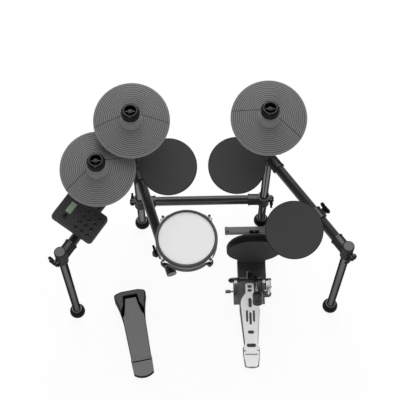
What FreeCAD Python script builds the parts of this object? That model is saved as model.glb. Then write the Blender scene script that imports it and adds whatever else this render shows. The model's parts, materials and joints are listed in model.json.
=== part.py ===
import FreeCAD, Part

import math
import os

Vec = FreeCAD.Vector
right = Vec(1, 0, 0)
up = Vec(0, 0, 1)

# All sizes are in millimetres and degrees. The layout is drawn from the point on the floor midway between
# the rear posts: X to the right, Y away from the player, Z up. The plan centre moves it to the middle of its
# footprint.
plan_centre_x = -6.6
plan_centre_y = -285.8

# Fits
tube_clearance = 0.3
seat_gap = 0.3
running_gap = 0.08
# Cutters and joined pieces run past each other's faces by this much.
overlap = 1.0

# Rack tubes
post_radius = 16.0
bar_radius = 19.0
tube_wall = 1.8
rear_post_spacing = 510.0
front_leg_spacing = 1048.0
rack_depth = 395.0
crossbar_height = 218.0
arm_height = 602.0
post_rise = 104.0
snare_arm_angle = 16.7
snare_arm_length = 460.0
plug_thickness = 5.0

# Clamps and their wing screws
clamp_wall = 6.0
bar_socket_wall = 4.0
clamp_rim = 1.5
clamp_rim_height = 6.0
tee_half_height = 33.0
tee_cap_height = 48.0
tee_cap_wall = 6.0
tee_reach = 64.0
pad_clamp_half_height = 22.0
pad_clamp_reach = 56.0
rod_socket_wall = 6.0
stack_gap = 4.0
seat_depth = 10.0
ear_half_width = 9.0
ear_half_height = 11.0
ear_slot = 4.0
ear_root = 2.0
screw_radius = 3.0
screw_head_radius = 7.0
screw_head_length = 6.0
wing_hub_length = 16.0
wing_radius = 11.0
wing_spread = 14.0
wing_thickness = 8.0
wing_set_back = 3.0

# Rubber feet
foot_radius = 31.0
foot_height = 38.0
foot_floor = 6.0
foot_lip = 4.0
foot_round = 3.0
foot_side = 9.0
foot_taper = 7.0
foot_shoulder = 10.0

# Rubber pads on ball rods
pad_radius = 106.0
pad_thickness = 11.0
pad_edge = 3.0
pad_under_round = 1.5
pad_crown = 0.8
housing_depth = 34.0
housing_wall = 3.5
housing_inset = 3.0
housing_round = 16.0
ball_radius = 12.0
ball_drop = 54.0
ball_mouth = 5.5
ball_boss_radius = 20.0
boss_flare = 6.0
pad_rod_radius = 6.0
pad_rod_bend = 15.0
tom_x = 126.0
tom_y = -100.0
tom_rise = 132.0
tom_tilt = 17.0
floor_tom_x = 325.0
floor_tom_y = -349.0
floor_tom_rise = 100.0
floor_tom_tilt = 18.0

# Mesh snare
snare_x = -64.0
snare_y = -373.0
snare_rise = 98.0
snare_tilt = 2.0
snare_radius = 103.0
snare_depth = 52.0
snare_wall = 4.0
skirt_radius = 111.5
skirt_top = 16.0
skirt_round = 6.0
snare_ball_drop = 66.0
snare_ball_shift = 40.0
hoop_radius = 112.5
hoop_lip_radius = 101.5
hoop_rise = 7.5
hoop_fit = 2.0
hoop_wall = 2.5
hoop_seat = 4.7
hoop_shelf = 1.7
hoop_drop = 14.0
hoop_round = 1.5
hoop_roll = 4.0
hoop_crown = 3.0
hoop_lip = 2.2
hoop_throat = 5.5
head_thickness = 0.8
head_skirt = 10.0
head_flange = 3.7
head_flange_height = 5.0
head_skin = 1.0
lug_count = 4
lug_half_width = 11.0
lug_foot = 4.0
lug_top = 22.0
lug_front = 7.0
lug_round = 5.0
lug_screw_offset = 6.5
lug_screw_end = 42.0
lug_head_radius = 5.0
lug_head_low = 1.6
lug_head_high = 4.4
lug_ear_half = 21.0
lug_ear_slope = 40.0
lug_ear_drop = 3.0
lug_ear_lap = 2.0
lug_ear_reach = 9.0
lug_ear_tip = 4.0
lug_ear_thickness = 3.0

# Cymbals, their rods and tilters
cymbal_radius = 136.0
cymbal_edge = 4.0
cymbal_bow = 22.0
bow_share = 0.6
rim_round = 3.0
rim_land = 4.0
rim_step = 2.0
rim_step_height = 1.5
bell_radius = 36.0
bell_height = 44.0
bell_flat = 8.0
bell_foot = 2.0
bell_shoulder = 4.0
bell_shoulder_height = 13.0
bell_under_flat = 6.0
bell_under = 8.0
bell_under_foot = 3.0
cymbal_skin = 5.0
cymbal_hole = 7.4
cymbal_tilt = 17.0
stem_tilt = -2.0
stem_to_rim = 72.0
stem_radius = 5.5
thread_radius = 4.5
thread_tip = 3.0
neck_radius = 6.5
neck_flat = 22.0
washer_radius = 16.5
washer_thickness = 3.0
felt_radius = 11.5
felt_slope = 0.45
felt_gap = 3.1
felt_height = 12.0
cup_rise = 22.0
cup_radius = 33.0
cup_edge = 1.5
cup_wall = 8.0
cup_height = 27.0
cup_rim_radius = 24.5
cup_recess_radius = 21.5
cup_floor = 8.0
nut_radius = 8.0
nut_height = 13.0
nut_wing_reach = 17.0
nut_wing_half = 2.0
nut_wing_rise = 3.0
cymbal_rod_radius = 9.5
rod_bend = 40.0
rod_depth = 70.0
rod_bend_rise = 40.0
rod_collar_wall = 4.0
rod_collar_height = 18.0
fork_radius = 12.5
fork_gap = 4.3
fork_depth = 26.0
fork_base_wall = 1.0
fork_base_low = 32.0
fork_base_high = 15.0
rod_end = 30.0
cheek = 5.5
tilter_pin = 4.0
crash_x = -250.0
ride_x = 236.0
pivot_y = -32.0
rear_pivot_rise = 257.0
hi_hat_pivot_rise = 162.0
hi_hat_lean = 2.0
hi_hat_bend_rise = 10.0
hi_hat_station = 183.0
hi_hat_socket_offset = 18.0
hi_hat_socket_reach = 78.0

# Sound module
module_length = 178.0
module_width = 120.0
module_case_depth = 26.0
module_back_depth = 16.0
module_wall = 2.8
module_corner = 14.0
case_shoulder = 2.5
case_shoulder_depth = 5.0
case_face_inset = 6.0
back_inset = 5.0
back_round = 6.0
panel_cut = 9.0
panel_seam_y = -44.0
panel_seam_width = 1.6
panel_seam_depth = 1.0
module_station = 338.0
module_tilt = 12.0
module_hinge_rise = 46.0
module_hinge_drop = 12.0
module_hinge_shift = 14.0
hinge_pin_radius = 4.0
hinge_barrel_radius = 8.0
hinge_barrel_half = 20.0
hinge_ear = 8.0
hinge_neck_half = 7.0
screen_x = -44.5
screen_y = 6.0
screen_length = 22.5
screen_width = 45.0
screen_recess = 1.0
screen_depth = 4.0
screen_flange = 3.0
screen_flange_thickness = 2.0
knob_x = -45.0
knob_y = -33.0
volume_knob_radius = 8.0
volume_knob_height = 9.0
volume_stem_radius = 3.0
volume_stem_depth = 8.0
volume_skirt = 2.0
volume_grip = 1.0
volume_taper = 0.4
volume_round = 1.6
volume_mark_half = 0.6
button_rows = (11.0, 36.5, 62.0)
button_columns = (-43.0, -18.0, 7.0, 32.0)
button_radius = 6.6
button_rise = 3.4
button_crown = 2.2
button_flange = 1.6

# Kick tower and its pad
kick_x = 205.0
kick_face_y = -234.0
kick_height = 220.0
kick_radius = 110.0
kick_pad_thickness = 24.0
kick_housing_depth = 40.0
kick_inset = 7.0
kick_round = 10.0
kick_lip = 2.0
kick_flange = 4.0
tower_width = 120.0
tower_plate = 5.0
tower_base = 4.0
tower_taper = 24.0
tower_shoulder = 0.55
tower_top = 0.6
spine_half = 22.0
gusset_thickness = 4.0
gusset_rear = 30.0
gusset_top = 0.8
tower_rear_y = -35.0
tongue_y = -318.0
rear_bar_length = 248.0
rear_bar_shift = 17.0
rear_bar_depth = 30.0
rear_bar_height = 22.0
rear_bar_round = 3.0
level_screw_inset = 7.0
level_screw_radius = 5.0
level_screw_rise = 9.0
level_knob_radius = 9.0
level_knob_height = 7.0
bracket_half = 21.0
bracket_plate = 5.0
bracket_height = 26.0
bracket_hole_radius = 5.0
bracket_hole_rise = 14.0

# Kick pedal
pedal_x = 189.5
axle_y = -314.0
axle_height = 110.0
axle_radius = 5.0
axle_half_length = 88.0
pedal_post_offset = 58.0
pedal_post_half = 6.0
post_foot = 26.0
post_waist = 22.0
post_waist_rise = 14.0
bearing_radius = 13.0
pedal_plate = 5.0
sole_half = 65.0
sole_front = 52.0
sole_step = 68.0
sole_margin = 3.5
sole_heel_lap = 2.0
skid_half = 9.0
front_skid_back = 50.0
front_skid_half = 60.0
rear_skid_front = 26.0
rear_skid_half = 24.0
side_knob_radius = 7.0
side_knob_end = 98.0
side_knob_start = 76.0
side_knob_back = 14.0
side_knob_rise = 8.0
heel_y = -597.0
heel_height = 26.0
heel_end_y = -652.0
board_thickness = 5.0
board_angle = 11.0
board_stations = ((11.0, 31.0), (26.0, 31.0), (38.0, 25.5), (60.0, 27.0), (130.0, 33.0), (190.0, 38.0))
board_slots = ((0, 205, 7, 20), (-14, 150, 4.5, 24), (0, 140, 5, 26), (14, 150, 4.5, 24), (0, 84, 13, 7),
               (0, 30, 19, 7.5), (0, 256, 9, 6), (0, 272, 9, 6))
shoulder_along = 224.0
shoulder_half = 33.0
neck_along = 246.0
neck_half = 17.0
neck_back = 4.0
tongue_half = 9.5
heel_half = 31.0
heel_end_half = 25.0
heel_corner = 10.0
heel_rise = 4.0
heel_step = 3.0
knuckle_half = 24.0
knuckle_radius = 6.0
cheek_radius = 7.0
cam_radius = 32.0
cam_half = 10.0
cam_low = -8.0
cam_high = 112.0
cam_hub_radius = 12.0
axle_collar_radius = 10.0
axle_collars = ((-50.0, -42.0), (-83.0, -68.0))
strap_half = 6.0
strap_thickness = 1.6
strap_wrap = 96.0
toe_lug_depth = 7.0
toe_lug_rise = 11.0
toe_lug_run = 14.0
toe_overhang = 4.0
beater_offset = 22.0
beater_angle = 47.0
beater_reach = 165.0
beater_rod_radius = 4.0
rod_fit = 0.1
rod_start = 8.0
rod_bottom = 0.2
rod_stop = 14.0
beater_hub_radius = 16.0
beater_hub_half = 8.0
beater_head_radius = 21.0
beater_head_length = 48.0
beater_back_round = 4.0
beater_face_round = 9.0
beater_face_depth = 7.0
beater_face_bow = 0.6
beater_groove_half = 5.0
beater_groove_depth = 2.0
spring_radius = 7.0
spring_wire = 1.2
spring_turns = 15
spring_seat = 7.0
spring_cup_rim = 2.5
spring_cup_drop = 1.0
spring_lobe = 14.0
spring_offset = 80.0
spring_lever = 26.0
lever_angle = 33.0
lever_radius = 7.0
spring_foot = 16.0

# Hi-hat controller
hat_heel_x = -245.0
hat_heel_y = -685.0
hat_turn = 10.1
hat_length = 362.0
hat_toe_width = 131.0
hat_waist_width = 92.0
hat_heel_width = 81.0
hat_hinge_width = 87.0
hat_heel_bow = 15.0
hat_board_half = 38.8
hat_edge = 2.5
hat_waist_back = 32.0
hat_wing_hollow = 3.0
hat_corner = 8.0
hat_toe_bow = 9.5
hat_border = 4.0
hat_plate_step = 2.0
hat_well_half = 31.0
hat_plate = 9.0
hat_heel_height = 26.0
hat_hinge_along = 72.0
hat_hinge_height = 20.0
hat_board = 9.0
hat_board_angle = 8.0
hat_toe_along = 268.0
hat_toe_rise = 66.0
hat_pin_radius = 4.0
hat_knuckle = 7.5
hat_weld_inset = 1.0
hat_hinge_step = 8.0
hat_waist_step = 2.0
hat_cheek_back = 14.0
hat_cheek_front = 7.0
hat_cheek_rise = 6.0
hat_cover_lap = 4.0
hat_cover_end = 3.0
hat_well_mouth = 16.0
hat_well_run = 37.0
hat_well_taper = 4.0
hat_well_end = 26.0
hat_well_floor = 3.0
hat_board_gap = 5.0
hat_board_start = 9.0
hat_board_flare = 30.0
hat_board_end = 32.0
hat_shoulder_back = 20.0
hat_shoulder_run = 11.0
hat_shoulder_round = 4.0
hat_board_mouth = 9.0

post_bore = post_radius + tube_clearance
post_top = arm_height + post_rise
tom_height = arm_height + tom_rise
floor_tom_height = arm_height + floor_tom_rise
snare_height = arm_height + snare_rise
rear_pivot_height = arm_height + rear_pivot_rise
hi_hat_pivot_height = arm_height + hi_hat_pivot_rise
snare_arm_height = arm_height - 2 * tee_half_height - stack_gap
tom_clamp_height = arm_height + tee_half_height + stack_gap + pad_clamp_half_height


def frame(origin, x_dir, z_dir):
    turn = FreeCAD.Rotation(x_dir, z_dir.cross(x_dir), z_dir, "ZXY")
    return FreeCAD.Placement(origin, turn)


def placed(shape, placement):
    moved = shape.copy()
    moved.Placement = placement.multiply(shape.Placement)
    return moved


def joined(first, *others):
    return first.fuse(list(others)).removeSplitter()


def without(shape, *cutters):
    return shape.cut(list(cutters)).removeSplitter()


def cylinder(radius, start, end):
    axis = end - start
    return Part.makeCylinder(radius, axis.Length, start, axis)


def tube(radius, start, end):
    return cylinder(radius, start, end).cut(cylinder(radius - tube_wall, start, end))


def block(low, high):
    size = high - low
    return Part.makeBox(size.x, size.y, size.z, low)


# A closed outline of points; a pair of points stands for an arc through the first to the second.
def outline(points, to_vector):
    edges = []
    here = to_vector(points[0])
    for point in points[1:] + points[:1]:
        if isinstance(point[0], tuple):
            end = to_vector(point[1])
            edges.append(Part.Arc(here, to_vector(point[0]), end).toShape())
        else:
            end = to_vector(point)
            if not end.isEqual(here, 1e-6):
                edges.append(Part.makeLine(here, end))
        here = end
    return Part.Wire(edges)


def flipped(point):
    return (-point[0], point[1])


# Both sides of an outline that is the same left and right, drawn from its right side; a crown bows its far end.
def mirrored(side, crown=None):
    ends = [point[1] if isinstance(point[0], tuple) else point for point in side]
    other = [(crown, flipped(ends[-1])) if crown else flipped(ends[-1])]
    for point, end in zip(side[:0:-1], ends[-2::-1]):
        if isinstance(point[0], tuple):
            other.append((flipped(point[0]), flipped(end)))
        else:
            other.append(flipped(end))
    return side + other


# The middle of a quarter round that runs out along X and ends along Y.
def corner_arc(start, end):
    lag = math.sqrt(0.5)
    return (start[0] + (end[0] - start[0]) * lag, end[1] + (start[1] - end[1]) * lag), end


# The same for a quarter round that runs along Y first and ends along X.
def corner_back(start, end):
    return corner_arc(end, start)[0], end


# The arc of a ball cap that ends on the axis of a turned profile.
def dome(radius, base, top):
    rise = top - base
    ball = (radius ** 2 + rise ** 2) / (2 * rise)
    half = math.asin(radius / ball) / 2
    return (ball * math.sin(half), top - ball * (1 - math.cos(half))), (0, top)


def turned(points):
    face = Part.Face(outline(points, lambda p: Vec(p[0], 0, p[1])))
    return face.revolve(Vec(0, 0, 0), up, 360)


def slab(points, low, high):
    face = Part.Face(outline(points, lambda p: Vec(p[0], p[1], low)))
    return face.extrude(Vec(0, 0, high - low))


# A slab drawn in the Y-Z plane and drawn out along X.
def side_slab(points, low, high):
    face = Part.Face(outline(points, lambda p: Vec(low, p[0], p[1])))
    return face.extrude(Vec(high - low, 0, 0))


def bent_rod(points, radius, bend):
    edges = []
    here = points[0]
    for before, corner, after in zip(points, points[1:], points[2:]):
        into = (corner - before).normalize()
        out = (after - corner).normalize()
        half = into.getAngle(out) / 2
        start = corner - into * (bend * math.tan(half))
        end = corner + out * (bend * math.tan(half))
        middle = corner + (out - into).normalize() * (bend / math.cos(half) - bend)
        edges.append(Part.makeLine(here, start))
        edges.append(Part.Arc(start, middle, end).toShape())
        here = end
    edges.append(Part.makeLine(here, points[-1]))
    section = Part.Wire(Part.makeCircle(radius, points[0], points[1] - points[0]))
    return Part.Wire(edges).makePipeShell([section], True, False)


def rounded_rectangle(length, width, radius, z):
    x = length / 2
    y = width / 2
    bulge = radius * (1 - math.sqrt(0.5))
    points = [(x, y - radius), ((x - bulge, y - bulge), (x - radius, y)), (radius - x, y)]
    points += [((bulge - x, y - bulge), (-x, y - radius)), (-x, radius - y)]
    points += [((bulge - x, bulge - y), (radius - x, -y)), (x - radius, -y)]
    points += [((x - bulge, bulge - y), (x, radius - y))]
    return outline(points, lambda p: Vec(p[0], p[1], z))


def screw_offset(tube_radius):
    return tube_radius + tube_clearance + clamp_wall + ear_half_height - ear_root


# A split collar round Z with two ears on the -X side, and what is cut from it.
def collar(tube_radius, below, above, cap=0.0):
    bore = tube_radius + tube_clearance
    radius = bore + clamp_wall
    rim = radius + clamp_rim
    points = [(0, -below), (rim, -below), (rim, clamp_rim_height - below), (radius, clamp_rim_height - below)]
    if cap:
        points += [(radius, above - cap), corner_back((radius, above - cap), (radius - cap, above))]
    else:
        points += [(radius, above - clamp_rim_height), (rim, above - clamp_rim_height), (rim, above)]
    points += [(0, above)]
    screw_x = screw_offset(tube_radius)
    ear_points = [(-bore, -ear_half_height), (-screw_x, -ear_half_height),
                  ((-screw_x - ear_half_height, 0), (-screw_x, ear_half_height)), (-bore, ear_half_height)]
    ears = Part.Face(outline(ear_points, lambda p: Vec(p[0], -ear_half_width, p[1])))
    ears = ears.extrude(Vec(0, 2 * ear_half_width, 0))
    far = screw_x + ear_half_height + overlap
    top = above - cap if cap else above + overlap
    cuts = [
        cylinder(bore, Vec(0, 0, -below - overlap), Vec(0, 0, top)),
        block(Vec(-far, -ear_slot / 2, -below - overlap), Vec(0, ear_slot / 2, top)),
        cylinder(screw_radius + tube_clearance, Vec(-screw_x, -far, 0), Vec(-screw_x, far, 0)),
    ]
    return joined(turned(points), ears), cuts


# A collar with a socket for a second tube or rod along +X.
def clamp(tube_radius, below, above, rod_radius, wall, reach, cap=0.0, offset=0.0):
    body, cuts = collar(tube_radius, below, above, cap)
    bore = rod_radius + tube_clearance
    outer = bore + wall
    seat = tube_radius + seat_depth
    line = Vec(0, offset, 0)
    socket = cylinder(outer, line, line + right * reach)
    flange = cylinder(outer + clamp_rim, line + right * (reach - clamp_rim_height), line + right * reach)
    cuts.append(cylinder(bore, line + right * seat, line + right * (reach + overlap)))
    return without(joined(body, socket, flange), *cuts)


def wing_screw(tube_radius):
    screw_x = screw_offset(tube_radius)
    head_end = Vec(-screw_x, -ear_half_width - screw_head_length, 0)
    head_face = Vec(-screw_x, -ear_half_width, 0)
    hub_face = Vec(-screw_x, ear_half_width, 0)
    hub_end = Vec(-screw_x, ear_half_width + wing_hub_length, 0)
    pieces = [cylinder(screw_head_radius, head_end, head_face), cylinder(screw_head_radius, hub_face, hub_end)]
    for side in (-1, 1):
        middle = Vec(-screw_x, hub_end.y - wing_set_back, side * wing_spread)
        half = right * (wing_thickness / 2)
        pieces.append(cylinder(wing_radius, middle - half, middle + half))
    return joined(cylinder(screw_radius, head_face, hub_face), *pieces)


def rubber_foot():
    lip = post_bore + foot_lip
    shoulder = foot_height - foot_shoulder
    flat = (foot_radius - foot_round, 0)
    flank = (foot_radius - foot_taper / 3, (foot_side + shoulder) / 2)
    points = [(0, 0), flat, corner_arc(flat, (foot_radius, foot_round)), (foot_radius, foot_side),
              (flank, (foot_radius - foot_taper, shoulder - foot_round)), (lip, shoulder), (lip, foot_height),
              (post_bore, foot_height), (post_bore, foot_floor), (0, foot_floor)]
    return turned(points)


def pad_rubber(radius, thickness):
    inner = radius - pad_edge
    flat = (radius - pad_under_round, -thickness)
    side = (radius, -pad_edge)
    points = [(0, -thickness), flat, corner_arc(flat, (radius, pad_under_round - thickness)), side,
              corner_back(side, (inner, 0)), dome(inner, 0, pad_crown)]
    return turned(points)


def pad_housing():
    rim = pad_radius - housing_inset
    inner = rim - housing_wall
    bottom = -housing_depth
    floor = bottom + housing_wall
    mouth = -ball_drop - ball_mouth
    flat = (rim - housing_round, bottom)
    wall_foot = (inner, bottom + housing_round)
    points = [(0, mouth), (ball_boss_radius, mouth), (ball_boss_radius, bottom - boss_flare),
              (ball_boss_radius + boss_flare, bottom), flat, corner_arc(flat, (rim, bottom + housing_round)),
              (rim, -pad_thickness), (inner, -pad_thickness), wall_foot,
              corner_back(wall_foot, (flat[0], floor)), (0, floor)]
    cavity = Part.makeSphere(ball_radius + tube_clearance, Vec(0, 0, -ball_drop))
    return without(turned(points), cavity)


def ball_rod(start, corner, ball):
    rod = bent_rod([start, corner, ball], pad_rod_radius, pad_rod_bend)
    return joined(rod, Part.makeSphere(ball_radius, ball))


def tilted(degrees):
    angle = math.radians(degrees)
    return Vec(0, -math.sin(angle), math.cos(angle))


# Rack stations
def post_point(side, z=0.0):
    return Vec(side * rear_post_spacing / 2, 0, z)


def leg_point(side, z=0.0):
    return Vec(side * front_leg_spacing / 2, -rack_depth, z)


def arm_direction(side):
    return (leg_point(side) - post_point(side)).normalize()


def arm_point(side, along):
    return post_point(side, arm_height) + arm_direction(side) * along


snare_angle = math.radians(snare_arm_angle)
snare_arm_direction = Vec(math.sin(snare_angle), -math.cos(snare_angle), 0)
snare_arm_start = post_point(-1, snare_arm_height)
bar_seat = post_radius + seat_depth

tee_clamps = []
wing_screws = []
rod_clamps = []
nodes = {}


def add_tee(origin, x_dir, front=False):
    above = tee_cap_height if front else tee_half_height
    cap = tee_cap_wall if front else 0.0
    station = frame(origin, x_dir, up)
    tee = clamp(post_radius, tee_half_height, above, bar_radius, bar_socket_wall, tee_reach, cap)
    tee_clamps.append(placed(tee, station))
    wing_screws.append(placed(wing_screw(post_radius), station))


def add_rod_clamp(tube_radius, origin, x_dir, z_dir):
    station = frame(origin, x_dir, z_dir)
    half = pad_clamp_half_height
    piece = clamp(tube_radius, half, half, pad_rod_radius, rod_socket_wall, pad_clamp_reach)
    rod_clamps.append(placed(piece, station))
    wing_screws.append(placed(wing_screw(tube_radius), station))


sides = {"left": -1, "right": 1}
feet = []
for name, side in sides.items():
    direction = arm_direction(side)
    leg_top = arm_height + tee_cap_height - tee_cap_wall - seat_gap
    nodes["rear_post_" + name] = tube(post_radius, post_point(side, foot_floor), post_point(side, post_top))
    nodes[name + "_leg"] = tube(post_radius, leg_point(side, foot_floor), leg_point(side, leg_top))
    arm_start = arm_point(side, bar_seat)
    arm_end = leg_point(side, arm_height) - direction * bar_seat
    nodes[name + "_arm"] = tube(bar_radius, arm_start, arm_end)
    add_tee(post_point(side, arm_height), direction)
    add_tee(leg_point(side, arm_height), -direction, front=True)
    add_tee(post_point(side, crossbar_height), right * -side)
    for spot in (post_point(side), leg_point(side)):
        feet.append(placed(rubber_foot(), FreeCAD.Placement(spot, FreeCAD.Rotation())))
add_tee(snare_arm_start, snare_arm_direction)
nodes["crossbar"] = tube(bar_radius, post_point(-1, crossbar_height) + right * bar_seat,
                         post_point(1, crossbar_height) - right * bar_seat)
snare_arm_end = snare_arm_start + snare_arm_direction * snare_arm_length
snare_tube = tube(bar_radius, snare_arm_start + snare_arm_direction * bar_seat, snare_arm_end)
plug_end = snare_arm_end + snare_arm_direction * plug_thickness
plug_core = snare_arm_end - snare_arm_direction * (2 * plug_thickness)
snare_plug = joined(cylinder(bar_radius, snare_arm_end, plug_end),
                    cylinder(bar_radius - tube_wall - tube_clearance, plug_core, snare_arm_end))
nodes["snare_arm"] = Part.makeCompound([snare_tube, snare_plug])
nodes["rubber_feet"] = Part.makeCompound(feet)

# Pads: the rod leaves its clamp level, then turns along the pad's own axis up to the ball.
pad_rods = []
pad_balls = {}


def rod_corner(ball, normal, height):
    return ball - normal * ((ball.z - height) / normal.z)


def add_pad(name, centre, normal):
    station = frame(centre, right, normal)
    nodes[name + "_housing"] = placed(pad_housing(), station)
    nodes[name + "_pad"] = placed(pad_rubber(pad_radius, pad_thickness), station)
    pad_balls[name] = centre - normal * ball_drop
    return pad_balls[name]


for name, side in sides.items():
    normal = tilted(tom_tilt)
    ball = add_pad(name + "_tom", Vec(side * tom_x, tom_y, tom_height), normal)
    corner = rod_corner(ball, normal, tom_clamp_height)
    post = post_point(side, tom_clamp_height)
    toward = (corner - post).normalize()
    add_rod_clamp(post_radius, post, toward, up)
    pad_rods.append(ball_rod(post + toward * (post_radius + seat_depth), corner, ball))


# A pad carried on a level tube: the clamp sits square beside the corner of the rod.
def add_tube_rod(corner, ball, tube_start, tube_direction):
    foot = tube_start + tube_direction * (corner - tube_start).dot(tube_direction)
    toward = (corner - foot).normalize()
    add_rod_clamp(bar_radius, foot, toward, toward.cross(up))
    pad_rods.append(ball_rod(foot + toward * (bar_radius + seat_depth), corner, ball))


floor_normal = tilted(floor_tom_tilt)
floor_ball = add_pad("floor_tom", Vec(floor_tom_x, floor_tom_y, floor_tom_height), floor_normal)
add_tube_rod(rod_corner(floor_ball, floor_normal, arm_height), floor_ball,
             post_point(1, arm_height), arm_direction(1))

snare_normal = tilted(snare_tilt)
snare_frame = frame(Vec(snare_x, snare_y, snare_height), right, snare_normal)
snare_ball_x = -snare_arm_direction.x * snare_ball_shift
snare_ball_y = -snare_arm_direction.y * snare_ball_shift
snare_ball = snare_frame.multVec(Vec(snare_ball_x, snare_ball_y, -snare_ball_drop))
pad_balls["snare"] = snare_ball
add_tube_rod(rod_corner(snare_ball, snare_normal, snare_arm_height), snare_ball, snare_arm_start,
             snare_arm_direction)
nodes["pad_rods"] = Part.makeCompound(pad_rods)


def snare_shell():
    inner = snare_radius - snare_wall
    low = -snare_depth
    foot = skirt_radius - skirt_round
    points = [(0, low), (foot, low), corner_arc((foot, low), (skirt_radius, low + skirt_round)),
              (skirt_radius, -skirt_top), (snare_radius, -skirt_top), (snare_radius, -head_thickness),
              (inner, -head_thickness), (inner, low + snare_wall), (0, low + snare_wall)]
    spot = Vec(snare_ball_x, snare_ball_y, 0)
    boss = cylinder(ball_boss_radius, spot - up * (snare_ball_drop + ball_mouth),
                    spot - up * (snare_depth - overlap))
    cavity = Part.makeSphere(ball_radius + tube_clearance, spot - up * snare_ball_drop)
    return without(joined(turned(points), boss), cavity)


def snare_head():
    edge = snare_radius + seat_gap
    skin = edge + head_skin
    flange = edge + head_flange
    flange_top = head_flange_height - head_skirt
    points = [(0, -head_thickness), (edge, -head_thickness), (edge, -head_skirt), (flange, -head_skirt),
              (flange, flange_top), (skin, flange_top), (skin, -head_skin),
              corner_back((skin, -head_skin), (edge, 0)), (0, 0)]
    return turned(points)


def snare_hoop():
    wall = snare_radius + hoop_fit
    skirt = hoop_radius - hoop_wall
    side = (hoop_radius, -hoop_shelf - hoop_round)
    neck = (wall + hoop_wall, hoop_rise - hoop_roll)
    crown = (neck[0] - hoop_crown, hoop_rise)
    points = [(wall, -hoop_seat), (skirt, -hoop_seat), (skirt, -hoop_drop), (hoop_radius, -hoop_drop), side,
              corner_back(side, (hoop_radius - hoop_round, -hoop_shelf)), (neck[0], -hoop_shelf), neck,
              corner_back(neck, crown), corner_arc(crown, (hoop_lip_radius, hoop_rise - hoop_lip)),
              (wall, hoop_rise - hoop_throat)]
    return turned(points)


# Each lug: a body on the shell, a bright triangular ear against the hoop and a screw through both.
def snare_lug():
    screw_x = hoop_radius + lug_screw_offset
    root = hoop_radius + seat_gap
    half = lug_ear_thickness / 2
    tip = lug_ear_reach + lug_ear_tip
    ear = slab([(-lug_ear_lap, -lug_ear_half), (lug_ear_reach, -lug_ear_tip),
                ((tip, 0), (lug_ear_reach, lug_ear_tip)), (-lug_ear_lap, lug_ear_half)], -half, half)
    lean = FreeCAD.Rotation(Vec(0, 1, 0), lug_ear_slope)
    ear = placed(ear, FreeCAD.Placement(Vec(root, 0, -lug_ear_drop), lean))
    body = block(Vec(snare_radius - snare_wall, -lug_half_width, lug_foot - snare_depth),
                 Vec(screw_x + lug_front, lug_half_width, -lug_top))
    upright = [edge for edge in body.Edges if edge.BoundBox.XMin > snare_radius
               and edge.BoundBox.ZLength > 2 * edge.BoundBox.YLength]
    body = body.makeFillet(lug_round, upright)
    hole_end = Vec(screw_x, 0, -lug_screw_end - overlap)
    hole = cylinder(screw_radius + tube_clearance, hole_end, Vec(screw_x, 0, overlap))
    shell_side = cylinder(skirt_radius + seat_gap, Vec(0, 0, -snare_depth), Vec(0, 0, 0))
    hoop_side = cylinder(root, Vec(0, 0, -snare_depth), Vec(0, 0, hoop_rise))
    head = Vec(screw_x, 0, -lug_head_low)
    screw = joined(cylinder(screw_radius, Vec(screw_x, 0, -lug_screw_end), head),
                   cylinder(lug_head_radius, head, Vec(screw_x, 0, lug_head_high)))
    return [without(ear, hole, hoop_side), without(body, hole, shell_side), screw]


nodes["snare_shell"] = placed(snare_shell(), snare_frame)
nodes["snare_head"] = placed(snare_head(), snare_frame)
nodes["snare_hoop"] = placed(snare_hoop(), snare_frame)
lugs = []
for index in range(lug_count):
    turn = FreeCAD.Rotation(up, 360.0 * (index + 0.5) / lug_count)
    for solid in snare_lug():
        lugs.append(placed(solid, snare_frame.multiply(FreeCAD.Placement(Vec(0, 0, 0), turn))))
nodes["snare_lugs"] = Part.makeCompound(lugs)


# Cymbals are drawn from the middle of the rim plane, stems from the tilter pivot.
def cymbal():
    rim = cymbal_radius
    edge = cymbal_edge
    middle = (rim + bell_radius) / 2
    bow_mid = edge + (cymbal_bow - edge) * bow_share
    under = bell_height - cymbal_skin
    land = (rim - rim_land, -edge)
    shoulder = (bell_radius - bell_shoulder, cymbal_bow + bell_shoulder_height)
    hollow = (bell_radius - bell_under, cymbal_bow + bell_under)
    points = [(cymbal_hole, under), (cymbal_hole + bell_under_flat, under),
              (hollow, (bell_radius - bell_under_foot, cymbal_bow - cymbal_skin)),
              ((middle, bow_mid - cymbal_skin), (land[0] - rim_step, rim_step_height - edge)), land,
              corner_arc(land, (rim, 0)), corner_back((rim, 0), (rim - rim_round, edge)),
              ((middle, bow_mid), (bell_radius + bell_foot, cymbal_bow)),
              (shoulder, (cymbal_hole + bell_flat, bell_height)), (cymbal_hole, bell_height)]
    return turned(points)


def felt(near, far):
    hole = stem_radius + seat_gap
    rise = felt_slope * (felt_radius - hole) * (1 if far < near else -1)
    return turned([(hole, near), (felt_radius, near - rise), (felt_radius, far), (hole, far)])


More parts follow.
